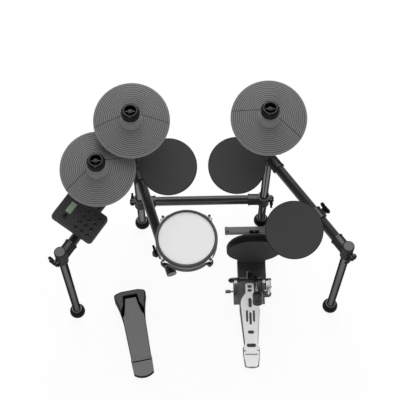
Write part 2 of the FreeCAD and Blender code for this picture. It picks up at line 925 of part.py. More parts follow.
def cymbal_stem():
    half = fork_gap - seat_gap
    tongue = cylinder(fork_radius - seat_gap, right * -half, right * half)
    hole = cylinder(tilter_pin + running_gap, right * -(half + overlap), right * (half + overlap))
    bell_top = stem_to_rim + bell_height
    washer_top = bell_top - cymbal_skin - felt_height
    cup_base = bell_top + cup_rise
    cup_top = cup_base + cup_height
    floor = cup_base + cup_floor
    nut_foot = floor + seat_gap
    nut_top = nut_foot + nut_height
    neck = cylinder(neck_radius, up * neck_radius, up * washer_top)
    flat = block(Vec(half, -neck_radius, 0), Vec(neck_radius + overlap, neck_radius, neck_flat))
    sides_cut = [flat, flat.mirror(Vec(0, 0, 0), right)]
    washer = cylinder(washer_radius, up * (washer_top - washer_thickness), up * washer_top)
    shaft = cylinder(stem_radius, up * washer_top, up * (cup_base - overlap))
    tip = cylinder(thread_radius, up * (cup_base - overlap), up * (nut_top + thread_tip))
    stem = without(joined(neck.cut(sides_cut), tongue, washer, shaft, tip), hole)
    lower = felt(bell_top - cymbal_skin - felt_gap, washer_top)
    upper = felt(bell_top + felt_gap, cup_base)
    bore = thread_radius + seat_gap
    side = (cup_radius, cup_base + cup_wall)
    cup = turned([(bore, cup_base), (cup_radius - cup_edge, cup_base), (cup_radius, cup_base + cup_edge), side,
                  corner_back(side, (cup_rim_radius, cup_top)), (cup_recess_radius, cup_top),
                  (cup_recess_radius, floor), (bore, floor)])
    wings = block(Vec(-nut_wing_reach, -nut_wing_half, nut_foot + nut_wing_rise),
                  Vec(nut_wing_reach, nut_wing_half, nut_top))
    nut = joined(cylinder(nut_radius, up * nut_foot, up * nut_top), wings)
    nut = without(nut, cylinder(bore, up * floor, up * (nut_top + overlap)))
    return [stem, lower, upper, cup, nut]


def fork(pivot):
    pin = right * (fork_gap + overlap)
    pieces = [cylinder(tilter_pin, pivot - pin, pivot + pin)]
    for side in (-1, 1):
        inner = pivot + right * (side * fork_gap)
        outer = pivot + right * (side * (fork_gap + cheek))
        low = Vec(min(inner.x, outer.x), pivot.y - fork_radius, pivot.z - fork_depth)
        high = Vec(max(inner.x, outer.x), pivot.y + fork_radius, pivot.z)
        pieces += [cylinder(fork_radius, inner, outer), block(low, high)]
    base = cylinder(fork_radius + fork_base_wall, pivot - up * fork_base_low, pivot - up * fork_base_high)
    return joined(base, *pieces)


# The rod stands in its tube or socket and leans over to the pivot.
def cymbal_rod(foot, bend_height, pivot):
    bend_point = Vec(foot.x, foot.y, bend_height)
    rod = bent_rod([foot, bend_point, pivot - up * rod_end], cymbal_rod_radius, rod_bend)
    return joined(rod, fork(pivot))


cymbal_pivots = {}
cymbal_holes = {}


# A cymbal hangs on its felts at its own lean, turned about the middle of its hole.
def add_cymbal(name, pivot):
    upright = tilted(stem_tilt)
    normal = tilted(cymbal_tilt)
    hole_rise = bell_height - cymbal_skin / 2
    hole = pivot + upright * (stem_to_rim + hole_rise)
    station = frame(pivot, right, upright)
    nodes[name + "_stem"] = Part.makeCompound([placed(solid, station) for solid in cymbal_stem()])
    nodes[name + "_cymbal"] = placed(cymbal(), frame(hole - normal * hole_rise, right, normal))
    cymbal_pivots[name] = pivot
    cymbal_holes[name] = hole


cymbal_rods = []
for name, side, pivot_x in (("crash", -1, crash_x), ("ride", 1, ride_x)):
    pivot = Vec(pivot_x, pivot_y, rear_pivot_height)
    add_cymbal(name, pivot)
    sleeve = post_radius - tube_wall - tube_clearance
    rod_foot = post_point(side, post_top - rod_depth)
    rod = cymbal_rod(rod_foot, post_top + rod_bend_rise, pivot)
    plug = cylinder(sleeve, rod_foot, post_point(side, post_top))
    collar_ring = cylinder(post_radius + rod_collar_wall, post_point(side, post_top),
                           post_point(side, post_top + rod_collar_height))
    cymbal_rods.append(joined(rod, plug, collar_ring))

hat_frame = frame(arm_point(-1, hi_hat_station), up, arm_direction(-1))
hat_clamp = clamp(bar_radius, pad_clamp_half_height, pad_clamp_half_height, cymbal_rod_radius, rod_socket_wall,
                  hi_hat_socket_reach, offset=hi_hat_socket_offset)
rod_clamps.append(placed(hat_clamp, hat_frame))
wing_screws.append(placed(wing_screw(bar_radius), hat_frame))
hat_rod_foot = hat_frame.multVec(Vec(bar_radius + seat_depth, hi_hat_socket_offset, 0))
hat_pivot = Vec(hat_rod_foot.x - hi_hat_lean, hat_rod_foot.y + pivot_y, hi_hat_pivot_height)
add_cymbal("hi_hat", hat_pivot)
hat_bend_height = arm_height + hi_hat_socket_reach + hi_hat_bend_rise
cymbal_rods.append(cymbal_rod(hat_rod_foot, hat_bend_height, hat_pivot))
nodes["cymbal_rods"] = Part.makeCompound(cymbal_rods)

# Sound module: its frame has X down the panel, Y along the arm towards the back and Z out of the panel.
module_along = -arm_direction(-1)
module_hinge = arm_point(-1, module_station) + up * module_hinge_rise
module_level = module_along.cross(up)
module_angle = math.radians(module_tilt)
module_down = module_level * math.cos(module_angle) - up * math.sin(module_angle)
module_normal = module_down.cross(module_along)
module_depth = module_case_depth + module_back_depth
module_centre = (module_hinge + module_normal * (module_depth + module_hinge_drop)
                 - module_down * module_hinge_shift)
module_frame = frame(module_centre, module_down, module_normal)


def module_box(inset, corner, sections):
    wires = []
    for shrink, z in sections:
        trim = 2 * (shrink + inset)
        wires.append(rounded_rectangle(module_length - trim, module_width - trim, corner - shrink / 2, z))
    return Part.makeLoft(wires, True, True)


def module_case():
    low = -module_case_depth
    corner = module_corner - module_wall
    outer = module_box(0, module_corner, [(0, low), (case_shoulder, -case_shoulder_depth),
                                          (case_face_inset, 0)])
    hollow = module_box(module_wall, corner, [(0, low), (case_shoulder, -case_shoulder_depth - module_wall),
                                              (case_face_inset, -module_wall)])
    knob = Vec(knob_x, knob_y, 0)
    cuts = [hollow, cylinder(volume_stem_radius + running_gap, knob - up * panel_cut, knob + up)]
    half = Vec(screen_length / 2 + seat_gap, screen_width / 2 + seat_gap, 0)
    middle = Vec(screen_x, screen_y, 0)
    cuts.append(block(middle - half - up * panel_cut, middle + half + up))
    for x, y in button_spots:
        cuts.append(cylinder(button_radius + seat_gap, Vec(x, y, -panel_cut), Vec(x, y, overlap)))
    seam_half = Vec(module_length / 2, panel_seam_width / 2, 0)
    seam = Vec(0, panel_seam_y, 0)
    cuts.append(block(seam - seam_half - up * panel_seam_depth, seam + seam_half + up))
    return without(outer, *cuts)


def module_back():
    top = -module_case_depth
    low = -module_depth
    body = module_box(0, module_corner, [(back_inset, low), (0, low + back_round), (0, top)])
    axis = Vec(module_hinge_shift, 0, low - module_hinge_drop)
    rim = hinge_barrel_radius
    for side in (-1, 1):
        inner = side * (hinge_barrel_half + seat_gap)
        outer = inner + side * hinge_ear
        ear = joined(cylinder(rim, axis + Vec(0, inner, 0), axis + Vec(0, outer, 0)),
                     block(Vec(axis.x - rim, min(inner, outer), axis.z),
                           Vec(axis.x + rim, max(inner, outer), low + overlap)))
        body = joined(body, ear)
    reach = Vec(0, hinge_barrel_half + hinge_ear + overlap, 0)
    pin_hole = cylinder(hinge_pin_radius + running_gap, axis - reach, axis + reach)
    return without(body, pin_hole)


def module_screen():
    half = Vec(screen_length / 2, screen_width / 2, 0)
    middle = Vec(screen_x, screen_y, 0)
    flange = half + Vec(screen_flange, screen_flange, 0)
    under = -module_wall - seat_gap
    return joined(block(middle - half - up * screen_depth, middle + half - up * screen_recess),
                  block(middle - flange + up * (under - screen_flange_thickness), middle + flange + up * under))


def volume_knob():
    radius = volume_knob_radius
    top = volume_knob_height
    grip = radius - volume_grip
    crown = (grip - volume_taper, top - volume_round)
    stem = volume_stem_radius
    knob = turned([(0, -volume_stem_depth), (stem, -volume_stem_depth), (stem, seat_gap), (radius, seat_gap),
                   (radius, volume_skirt), (grip, volume_skirt + volume_grip), crown,
                   corner_back(crown, (crown[0] - volume_round, top)), (0, top)])
    mark = block(Vec(-radius, -volume_mark_half, top - volume_grip),
                 Vec(-volume_grip, volume_mark_half, top + overlap))
    return without(knob, mark)


def button():
    rim = button_radius + button_flange
    under = -module_wall - seat_gap
    shoulder = button_rise - button_crown
    return turned([(0, under - button_flange), (rim, under - button_flange), (rim, under),
                   (button_radius, under), (button_radius, shoulder), dome(button_radius, shoulder, button_rise)])


# The clamp's neck carries the hinge barrel and its pin.
def module_clamp():
    body, cuts = collar(bar_radius, pad_clamp_half_height, pad_clamp_half_height)
    rise = right * module_hinge_rise
    half = up * hinge_barrel_half
    neck = block(Vec(0, -hinge_neck_half, -hinge_barrel_half),
                 Vec(module_hinge_rise, hinge_neck_half, hinge_barrel_half))
    barrel = cylinder(hinge_barrel_radius, rise - half, rise + half)
    tail = up * (hinge_barrel_half + hinge_ear)
    pin = cylinder(hinge_pin_radius, rise - tail, rise + tail)
    return without(joined(body, neck, barrel, pin), *cuts)


button_spots = [(x, y) for x in button_rows for y in button_columns]
clamp_frame = frame(arm_point(-1, module_station), up, module_along)
nodes["module_clamp"] = placed(module_clamp(), clamp_frame)
wing_screws.append(placed(wing_screw(bar_radius), clamp_frame))
nodes["module_case"] = placed(module_case(), module_frame)
nodes["module_back"] = placed(module_back(), module_frame)
nodes["module_screen"] = placed(module_screen(), module_frame)
knob_frame = module_frame.multiply(FreeCAD.Placement(Vec(knob_x, knob_y, 0), FreeCAD.Rotation()))
nodes["volume_knob"] = placed(volume_knob(), knob_frame)
for number, (x, y) in enumerate(button_spots, 1):
    spot = module_frame.multiply(FreeCAD.Placement(Vec(x, y, 0), FreeCAD.Rotation()))
    nodes["button_%d" % number] = placed(button(), spot)
nodes["tee_clamps"] = Part.makeCompound(tee_clamps)
nodes["rod_clamps"] = Part.makeCompound(rod_clamps)
nodes["wing_screws"] = Part.makeCompound(wing_screws)

# Kick tower: a welded frame with its pad in front and a stabiliser bar behind.
kick_frame = frame(Vec(kick_x, kick_face_y, kick_height), right, Vec(0, -1, 0))
upright_y = kick_face_y + kick_housing_depth
rear_bar_x = kick_x + rear_bar_shift


def kick_housing():
    rim = kick_radius - kick_inset
    inner = rim - housing_wall
    lip = kick_radius - kick_lip
    back = -kick_housing_depth
    front = -kick_pad_thickness
    flat = (rim - kick_round, back)
    wall_foot = (inner, back + kick_round)
    points = [(0, back), flat, corner_arc(flat, (rim, back + kick_round)), (rim, front - kick_flange),
              (lip, front - kick_flange), (lip, front), (inner, front), wall_foot,
              corner_back(wall_foot, (flat[0], back + housing_wall)), (0, back + housing_wall)]
    return turned(points)


def kick_tower():
    half = tower_width / 2
    rear = upright_y + tower_plate
    back = tower_rear_y - rear_bar_depth
    top = kick_height + kick_radius * tower_top
    shoulder = kick_height * tower_shoulder
    plate = block(Vec(kick_x - half, tongue_y, 0), Vec(kick_x + half, rear, tower_base))
    narrow = half - tower_taper
    front = Part.Face(outline([(kick_x - half, 0), (kick_x + half, 0), (kick_x + half, shoulder),
                               (kick_x + narrow, top), (kick_x - narrow, top), (kick_x - half, shoulder)],
                              lambda p: Vec(p[0], upright_y, p[1])))
    front = front.extrude(Vec(0, tower_plate, 0))
    start = rear - overlap
    left = rear_bar_x - spine_half
    spine = block(Vec(left, start, 0), Vec(rear_bar_x + spine_half, back, tower_base))
    pieces = [front, spine]
    for x in (left, rear_bar_x + spine_half - gusset_thickness):
        gusset = [(start, overlap), (back, overlap), (back, gusset_rear), (start, kick_height * gusset_top)]
        pieces.append(side_slab(gusset, x, x + gusset_thickness))
    return joined(plate, *pieces)


def rear_bar():
    half = rear_bar_length / 2
    low = tower_rear_y - rear_bar_depth
    top = rear_bar_height
    bar = block(Vec(rear_bar_x - half, low, 0), Vec(rear_bar_x + half, tower_rear_y, top))
    long_edges = [edge for edge in bar.Edges if edge.Length > rear_bar_length - overlap]
    bar = bar.makeFillet(rear_bar_round, long_edges)
    pieces = []
    for side in (-1, 1):
        spot = Vec(rear_bar_x + side * (half - level_screw_inset), (low + tower_rear_y) / 2, top)
        collar_top = spot + up * level_screw_rise
        pieces.append(cylinder(level_screw_radius, spot - up * overlap, collar_top))
        pieces.append(cylinder(level_knob_radius, collar_top, collar_top + up * level_knob_height))
    bracket = block(Vec(rear_bar_x - bracket_half, low, top - overlap),
                    Vec(rear_bar_x + bracket_half, low + bracket_plate, top + bracket_height))
    hole_start = Vec(rear_bar_x, low - overlap, top + bracket_hole_rise)
    hole = cylinder(bracket_hole_radius, hole_start, hole_start + Vec(0, bracket_plate + 2 * overlap, 0))
    return without(joined(bar, bracket, *pieces), hole)


nodes["kick_tower"] = Part.makeCompound([kick_tower(), rear_bar()])
nodes["kick_pad_housing"] = placed(kick_housing(), kick_frame)
nodes["kick_pad"] = placed(pad_rubber(kick_radius, kick_pad_thickness), kick_frame)

# Kick pedal: sole plate with two posts, an axle with its cam, a strap, a footboard and a heel plate.
axle = Vec(pedal_x, axle_y, axle_height)
heel = Vec(pedal_x, heel_y, heel_height)
board_tilt = math.radians(board_angle)
board_normal = Vec(0, -math.sin(board_tilt), math.cos(board_tilt))
board_frame = frame(heel, right, board_normal)
strap_inner = cam_radius + seat_gap
strap_outer = strap_inner + strap_thickness
strap_y = axle_y + (strap_inner + strap_outer) / 2
toe_along = (strap_y - heel_y) / math.cos(board_tilt)
strap_foot = board_frame.multVec(Vec(0, toe_along, 0)).z
beater_turn = math.radians(beater_angle)
beater_along = Vec(0, -math.sin(beater_turn), math.cos(beater_turn))
beater_base = axle + right * beater_offset
sole_low = tower_base
sole_top = tower_base + pedal_plate


# A bar with a round eye at each end, drawn between two points in a plane across X.
def eye_bar(start, end, radius, low, high):
    reach = end - start
    bar = joined(cylinder(radius, Vec(0, 0, low), Vec(0, 0, high)),
                 block(Vec(0, -radius, low), Vec(reach.Length, radius, high)),
                 cylinder(radius, Vec(reach.Length, 0, low), Vec(reach.Length, 0, high)))
    return placed(bar, frame(Vec(0, start.y, start.z), reach, right))


def across(radius, point, low, high):
    return cylinder(radius, Vec(low, point.y, point.z), Vec(high, point.y, point.z))


def cam_point(radius, degrees):
    turn = math.radians(degrees)
    return (axle_y + radius * math.cos(turn), axle_height + radius * math.sin(turn))


def pedal_frame():
    tail = [(half + sole_margin, heel_y + along * math.cos(board_tilt)) for along, half in board_stations]
    step_y = axle_y - sole_step
    flank = [(heel_end_half + sole_margin, heel_end_y + sole_heel_lap), (heel_half + sole_margin, heel_y)]
    flank += tail + [(tail[-1][0], step_y), (sole_half, step_y), (sole_half, axle_y + sole_front)]
    sole = slab(mirrored(flank) + [((0, heel_end_y - sole_margin), flank[0])], sole_low, sole_top)
    sole = placed(sole, FreeCAD.Placement(Vec(pedal_x, 0, 0), FreeCAD.Rotation()))
    lobe_low = Vec(spring_base.x, spring_base.y, sole_low)
    lobe_top = Vec(spring_base.x, spring_base.y, sole_top)
    pieces = [cylinder(spring_lobe, lobe_low, lobe_top)]
    pieces.append(block(Vec(pedal_x, spring_base.y - spring_lobe, sole_low), lobe_top + Vec(0, spring_lobe, 0)))
    cuts = []
    start = sole_top - overlap
    waist = sole_top + post_waist_rise
    bearing = ((axle_y, axle_height + bearing_radius), (axle_y - bearing_radius, axle_height))
    for side in (-1, 1):
        x = pedal_x + side * pedal_post_offset
        low = x - pedal_post_half
        high = x + pedal_post_half
        post = [(axle_y - post_foot, start), (axle_y + post_foot, start), (axle_y + post_waist, waist),
                (axle_y + bearing_radius, axle_height), bearing, (axle_y - post_waist, waist)]
        pieces.append(side_slab(post, low, high))
        cuts.append(across(axle_radius + running_gap, axle, low - overlap, high + overlap))
    knob = Vec(0, axle_y - side_knob_back, sole_top + side_knob_rise)
    pieces.append(across(screw_radius, knob, pedal_x - side_knob_start, pedal_x - pedal_post_offset))
    pieces.append(across(side_knob_radius, knob, pedal_x - side_knob_end, pedal_x - side_knob_start))
    seat = spring_base - up * (spring_wire + seat_gap)
    pieces.append(cylinder(spring_radius + spring_cup_rim, Vec(seat.x, seat.y, start), seat))
    pieces.append(cylinder(stud_radius, seat, seat + up * spring_seat))
    front_skid = (axle_y - front_skid_back, front_skid_half)
    rear_skid = (heel_end_y + rear_skid_front, rear_skid_half)
    for y, half in (front_skid, rear_skid):
        pieces.append(block(Vec(pedal_x - half, y - skid_half, 0),
                            Vec(pedal_x + half, y + skid_half, sole_low + overlap)))
    return without(joined(sole, *pieces), *cuts)


# The spring is screwed on two plugs, one on the sole plate and one on a lever of the axle that lifts as the
# beater goes.
lever_turn = math.radians(lever_angle)
lever_end = axle - Vec(0, math.cos(lever_turn), math.sin(lever_turn)) * spring_lever
spring_base = Vec(pedal_x + spring_offset, (lever_end.y + axle_y - spring_lever) / 2, spring_foot)
cup_bottom = lever_end.z - lever_radius - spring_cup_drop
spring_top = cup_bottom - spring_wire - seat_gap
stud_radius = spring_radius - spring_wire - seat_gap


def pedal_axle():
    shaft = across(axle_radius, axle, pedal_x - axle_half_length, pedal_x + axle_half_length)
    cam = side_slab([(axle_y, axle_height), cam_point(cam_radius, cam_low),
                     (cam_point(cam_radius, (cam_low + cam_high) / 2), cam_point(cam_radius, cam_high))],
                    pedal_x - cam_half, pedal_x + cam_half)
    cam_hub = across(cam_hub_radius, axle, pedal_x - cam_half, pedal_x + cam_half)
    seat = cam_radius - strap_thickness
    wrap = side_slab([cam_point(seat, 0), cam_point(strap_outer, 0),
                      (cam_point(strap_outer, strap_wrap / 2), cam_point(strap_outer, strap_wrap)),
                      cam_point(seat, strap_wrap), (cam_point(seat, strap_wrap / 2), cam_point(seat, 0))],
                     pedal_x - strap_half, pedal_x + strap_half)
    hub_x = pedal_x + beater_offset
    hub = across(beater_hub_radius, axle, hub_x - beater_hub_half, hub_x + beater_hub_half)
    collars = [across(axle_collar_radius, axle, pedal_x + low, pedal_x + high) for low, high in axle_collars]
    lever_x = pedal_x + spring_offset
    lever = eye_bar(axle, lever_end, lever_radius, lever_x - lever_radius, lever_x + lever_radius)
    cup_foot = Vec(spring_base.x, spring_base.y, cup_bottom)
    cup = cylinder(spring_radius + spring_cup_rim, cup_foot, Vec(spring_base.x, spring_base.y, lever_end.z))
    plug = cylinder(stud_radius, cup_foot - up * spring_seat, cup_foot)
    rod_hole = cylinder(beater_rod_radius + rod_fit, beater_base + beater_along * rod_start,
                        beater_base + beater_along * (beater_hub_radius + beater_rod_radius))
    return without(joined(shaft, cam, cam_hub, wrap, hub, lever, cup, plug, *collars), rod_hole)


def beater():
    head_centre = beater_base + beater_along * beater_reach
    rod = cylinder(beater_rod_radius, beater_base + beater_along * (rod_start + rod_bottom),
                   beater_base + beater_along * (beater_reach - rod_stop))
    half = beater_head_length / 2
    radius = beater_head_radius
    back = (radius - beater_back_round, -half)
    groove = radius - beater_groove_depth
    groove_half = beater_groove_half - beater_groove_depth
    side = (radius, half - beater_face_depth)
    head = turned([(0, -half), back, corner_arc(back, (radius, beater_back_round - half)),
                   (radius, -beater_groove_half), (groove, -groove_half), (groove, groove_half),
                   (radius, beater_groove_half), side,
                   corner_back(side, (radius - beater_face_round, half - beater_face_bow)), (0, half)])
    strike = right.cross(beater_along) * -1
    head = placed(head, frame(head_centre, right, strike))
    hole = cylinder(beater_rod_radius + rod_fit, head_centre - beater_along * (radius + overlap),
                    head_centre - beater_along * (rod_stop - overlap))
    return Part.makeCompound([rod, without(head, hole)])


# The strap's free run, from the toe of the footboard up to where it meets the cam.
def drive_strap():
    return block(Vec(pedal_x - strap_half, axle_y + strap_inner, strap_foot),
                 Vec(pedal_x + strap_half, axle_y + strap_outer, axle_height - seat_gap))


# A slot with round ends, long either way.
def slot_outline(x, y, half_x, half_y):
    radius = min(half_x, half_y)
    run = max(half_x, half_y) - radius
    if half_x > half_y:
        return [(x - run, y - radius), (x + run, y - radius), ((x + half_x, y), (x + run, y + radius)),
                (x - run, y + radius), ((x - half_x, y), (x - run, y - radius))]
    return [(x + radius, y - run), (x + radius, y + run), ((x, y + half_y), (x - radius, y + run)),
            (x - radius, y - run), ((x, y - half_y), (x + radius, y - run))]


def footboard():
    low = -board_thickness / 2
    high = board_thickness / 2
    neck_end = (axle_y - neck_back - heel_y) / math.cos(board_tilt)
    last_along, last_half = board_stations[-1]
    side = [(half, along) for along, half in board_stations]
    side.append(((last_half, (last_along + shoulder_along) / 2), (shoulder_half, shoulder_along)))
    side += [(neck_half, neck_along), (neck_half, neck_end), (tongue_half, neck_end)]
    side.append((tongue_half, toe_along + toe_lug_depth + toe_overhang))
    cuts = [slab(slot_outline(*slot), low - overlap, high + overlap) for slot in board_slots]
    lug_start = toe_along - toe_lug_depth
    lug_end = toe_along + toe_lug_depth
    lug = side_slab([(lug_start - toe_lug_run, low), (lug_end, low), (lug_end, toe_lug_rise),
                     (lug_start, toe_lug_rise), (lug_start - toe_lug_run, high)], -tongue_half, tongue_half)
    knuckle = cylinder(knuckle_radius, right * -knuckle_half, right * knuckle_half)
    tail = block(Vec(-knuckle_half, 0, low), Vec(knuckle_half, board_stations[0][0] + overlap, high))
    pin_hole = cylinder(hinge_pin_radius + running_gap, right * -heel_half, right * heel_half)
    board = joined(without(slab(mirrored(side), low, high), *cuts), lug, knuckle, tail)
    reach = strap_half + seat_gap
    strap_slot = block(Vec(pedal_x - reach, axle_y + strap_inner - seat_gap, strap_foot - seat_gap),
                       Vec(pedal_x + reach, axle_y + strap_outer + seat_gap, axle_height))
    return without(placed(without(board, pin_hole), board_frame), strap_slot)


def heel_plate():
    back = heel_end_y - heel_y
    low = sole_top - heel_height
    corner = (heel_end_half - heel_corner, back)
    side = [corner, corner_arc(corner, (heel_end_half, back + heel_corner)),
            (heel_half, -cheek_radius - heel_step)]
    cheeks = []
    for way in (-1, 1):
        inner = way * (knuckle_half + seat_gap)
        outer = way * heel_half
        cheeks.append(cylinder(cheek_radius, right * inner, right * outer))
        cheeks.append(block(Vec(min(inner, outer), -2 * cheek_radius, low),
                            Vec(max(inner, outer), cheek_radius, 0)))
    pin = cylinder(hinge_pin_radius, right * -heel_half, right * heel_half)
    body = joined(slab(mirrored(side), low, heel_rise), pin, *cheeks)
    return placed(body, FreeCAD.Placement(heel, FreeCAD.Rotation()))


# One helix tube: each half turn is a pair of arcs that leave and arrive along the helix.
def helix_point(angle):
    rise = (spring_top - spring_foot) * angle / (2 * math.pi * spring_turns)
    return spring_base + Vec(spring_radius * math.cos(angle), spring_radius * math.sin(angle), rise)


def helix_tangent(angle):
    rise = (spring_top - spring_foot) / (2 * math.pi * spring_turns)
    return Vec(-spring_radius * math.sin(angle), spring_radius * math.cos(angle), rise).normalize()


def tangent_arc(start, tangent, reach, end):
    middle = (start + end) / 2
    lean = (end - start).getAngle(tangent)
    bulge = (end - start).Length / 2 * math.tan(lean / 2)
    return Part.Arc(start, middle + (start + tangent * reach - middle).normalize() * bulge, end).toShape()


def pedal_spring():
    path = []
    for step in range(2 * spring_turns):
        start, end = helix_point(math.pi * step), helix_point(math.pi * (step + 1))
        leave, arrive = helix_tangent(math.pi * step), helix_tangent(math.pi * (step + 1))
        chord = end - start
        spread = 2 * (1 - leave.dot(arrive))
        along = chord.dot(leave + arrive)
        reach = (math.sqrt(along ** 2 + spread * chord.dot(chord)) - along) / spread
        meet = (start + end + (leave - arrive) * reach) / 2
        path.append(tangent_arc(start, leave, reach, meet))
        path.append(tangent_arc(meet, (meet - start - leave * reach).normalize(), reach, end))
    section = Part.Wire(Part.makeCircle(spring_wire, helix_point(0), helix_tangent(0)))
    return Part.Wire(path).makePipeShell([section], True)


def spring_gap():
    points = [helix_point(math.pi * step / 12) for step in range(24 * spring_turns)]
    pairs = [(a, b) for i, a in enumerate(points) for b in points[i + 12:i + 40]]
    return min((a - b).Length for a, b in pairs) - 2 * spring_wire


print("least gap between spring turns %.2f mm" % spring_gap())
nodes["pedal_frame"] = pedal_frame()
nodes["pedal_axle"] = pedal_axle()
nodes["beater"] = beater()
nodes["drive_strap"] = drive_strap()
nodes["footboard"] = footboard()
nodes["heel_plate"] = heel_plate()
nodes["pedal_spring"] = pedal_spring()

# Hi-hat controller, drawn from the middle of its heel edge with Y towards the toe.
hat_angle = math.radians(hat_turn)
hat_forward = Vec(-math.sin(hat_angle), math.cos(hat_angle), 0)
hat_across = Vec(math.cos(hat_angle), math.sin(hat_angle), 0)
hat_base_frame = frame(Vec(hat_heel_x, hat_heel_y, 0), hat_across, up)
hat_slope = math.radians(hat_board_angle)
hat_hinge = hat_base_frame.multVec(Vec(0, hat_hinge_along, hat_hinge_height))
hat_board_normal = up * math.cos(hat_slope) - hat_forward * math.sin(hat_slope)
hat_board_frame = frame(hat_hinge, hat_across, hat_board_normal)
hat_waist_along = hat_toe_along - hat_waist_back


def hat_outline():
    waist = hat_waist_width / 2
    toe = hat_toe_width / 2
    shoulder = hat_length - hat_toe_bow - 2 * hat_corner
    middle = ((waist + toe) / 2 - hat_wing_hollow, (hat_waist_along + shoulder) / 2)
    tip = (toe - hat_corner, hat_length - hat_toe_bow)
    step = hat_hinge_along + hat_hinge_step
    flank = [(hat_heel_width / 2, hat_heel_bow), (hat_hinge_width / 2, step),
             (hat_board_half + hat_edge, step + hat_waist_step), (waist, hat_waist_along),
             (middle, (toe, shoulder)), corner_back((toe, shoulder), tip)]
    return mirrored(flank, (0, hat_length)) + [((0, 0), flank[0])]


def hat_base():
    sole = slab(hat_outline(), 0, hat_plate)
    low = hat_plate - overlap
    cheek_top = hat_hinge_height + hat_cheek_rise
    hinge_half = hat_hinge_width / 2 - hat_weld_inset
    flank = [(hat_heel_width / 2 - hat_weld_inset, hat_heel_bow + hat_weld_inset),
             (hinge_half, hat_hinge_along - hat_knuckle - hat_weld_inset)]
    pieces = [slab(mirrored(flank) + [((0, 2 * hat_weld_inset), flank[0])], low, hat_heel_height)]
    for way in (-1, 1):
        inner = way * (hat_board_half + seat_gap)
        outer = way * hinge_half
        pieces.append(block(Vec(min(inner, outer), hat_hinge_along - hat_cheek_back, low),
                            Vec(max(inner, outer), hat_hinge_along + hat_cheek_front, cheek_top)))
    pin = cylinder(hat_pin_radius, Vec(-hinge_half, hat_hinge_along, hat_hinge_height),
                   Vec(hinge_half, hat_hinge_along, hat_hinge_height))
    return placed(joined(sole, pin, *pieces), hat_base_frame)


# The cover has a low ledge round it and a plate raised inside that ledge.
def hat_toe_cover():
    rim_height = hat_toe_rise - hat_plate_step
    body = slab(hat_outline(), hat_plate, rim_height)
    keep = block(Vec(-hat_toe_width, hat_toe_along - hat_cover_lap, 0),
                 Vec(hat_toe_width, hat_length - hat_cover_end, hat_toe_rise))
    body = body.common(keep)
    lip = hat_toe_along - hat_cover_end
    flank = [(hat_waist_width, lip - hat_well_run), (hat_waist_width, lip),
             (hat_well_half + hat_well_mouth, lip), (hat_well_half, lip + hat_well_run),
             (hat_well_half - hat_well_taper, hat_length - hat_well_end)]
    body = without(body, slab(mirrored(flank), hat_plate + hat_well_floor, hat_toe_rise))
    rim = [face for face in body.Faces if face.BoundBox.ZMin > rim_height - seat_gap]
    plate = rim[0].makeOffset2D(-hat_border).extrude(up * hat_plate_step)
    return placed(joined(body, plate), hat_base_frame)


def hat_footboard():
    half = hat_board_half
    wide = hat_waist_width / 2 - hat_edge
    toe = hat_well_half - hat_board_gap
    start = hat_toe_along - hat_hinge_along
    end = hat_length - hat_hinge_along - hat_board_end
    shoulder = (wide, start - hat_shoulder_back)
    shoulder_end = (wide - hat_shoulder_round, shoulder[1] + hat_shoulder_run)
    flank = [(half, hat_board_start), (half, hat_board_flare), shoulder, corner_back(shoulder, shoulder_end),
             (toe + hat_board_mouth, start), (toe, start + hat_well_run), (toe - hat_well_taper, end)]
    board = slab(mirrored(flank), -hat_board / 2, hat_board / 2)
    knuckle = cylinder(hat_knuckle, right * -half, right * half)
    tail = block(Vec(-half, 0, -hat_board / 2), Vec(half, hat_board_start + overlap, hat_board / 2))
    hole = cylinder(hat_pin_radius + running_gap, right * -(half + overlap), right * (half + overlap))
    return placed(without(joined(board, knuckle, tail), hole), hat_board_frame)


nodes["hi_hat_pedal_base"] = hat_base()
nodes["hi_hat_toe_cover"] = hat_toe_cover()
nodes["hi_hat_footboard"] = hat_footboard()

to_centre = FreeCAD.Placement(Vec(-plan_centre_x, -plan_centre_y, 0), FreeCAD.Rotation())
os.makedirs("parts", exist_ok=True)
for name, shape in nodes.items():
    placed(shape, to_centre).exportStep("parts/%s.step" % name)
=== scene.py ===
import json
import math
import bmesh
import bpy
import numpy as np
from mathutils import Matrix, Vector


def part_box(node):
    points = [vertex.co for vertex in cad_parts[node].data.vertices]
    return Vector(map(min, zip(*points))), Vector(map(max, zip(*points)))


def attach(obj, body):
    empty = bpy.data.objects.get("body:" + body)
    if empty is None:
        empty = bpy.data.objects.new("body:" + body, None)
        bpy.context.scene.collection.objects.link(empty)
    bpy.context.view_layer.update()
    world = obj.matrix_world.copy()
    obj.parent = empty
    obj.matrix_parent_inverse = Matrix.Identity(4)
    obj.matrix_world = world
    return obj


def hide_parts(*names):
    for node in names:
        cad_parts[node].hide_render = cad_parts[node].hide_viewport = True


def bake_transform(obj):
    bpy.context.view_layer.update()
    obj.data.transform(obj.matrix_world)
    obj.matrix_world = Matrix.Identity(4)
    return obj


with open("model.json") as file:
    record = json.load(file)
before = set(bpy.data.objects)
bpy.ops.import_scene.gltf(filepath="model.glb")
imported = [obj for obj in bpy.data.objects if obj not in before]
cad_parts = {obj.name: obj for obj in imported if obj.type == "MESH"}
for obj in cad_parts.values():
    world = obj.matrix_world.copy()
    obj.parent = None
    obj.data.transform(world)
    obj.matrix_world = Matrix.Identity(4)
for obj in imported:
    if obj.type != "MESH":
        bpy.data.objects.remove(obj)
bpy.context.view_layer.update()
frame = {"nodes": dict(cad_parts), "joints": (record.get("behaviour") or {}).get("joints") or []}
nodes = frame["nodes"]
joints = {joint["name"]: joint for joint in frame["joints"]}
scene = bpy.context.scene
scene.view_settings.view_transform = "Standard"
print("frame loaded,", len(nodes), "nodes")


def nodeMiddle(name):
    low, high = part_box(name)
    return (np.array(low) + np.array(high)) / 2


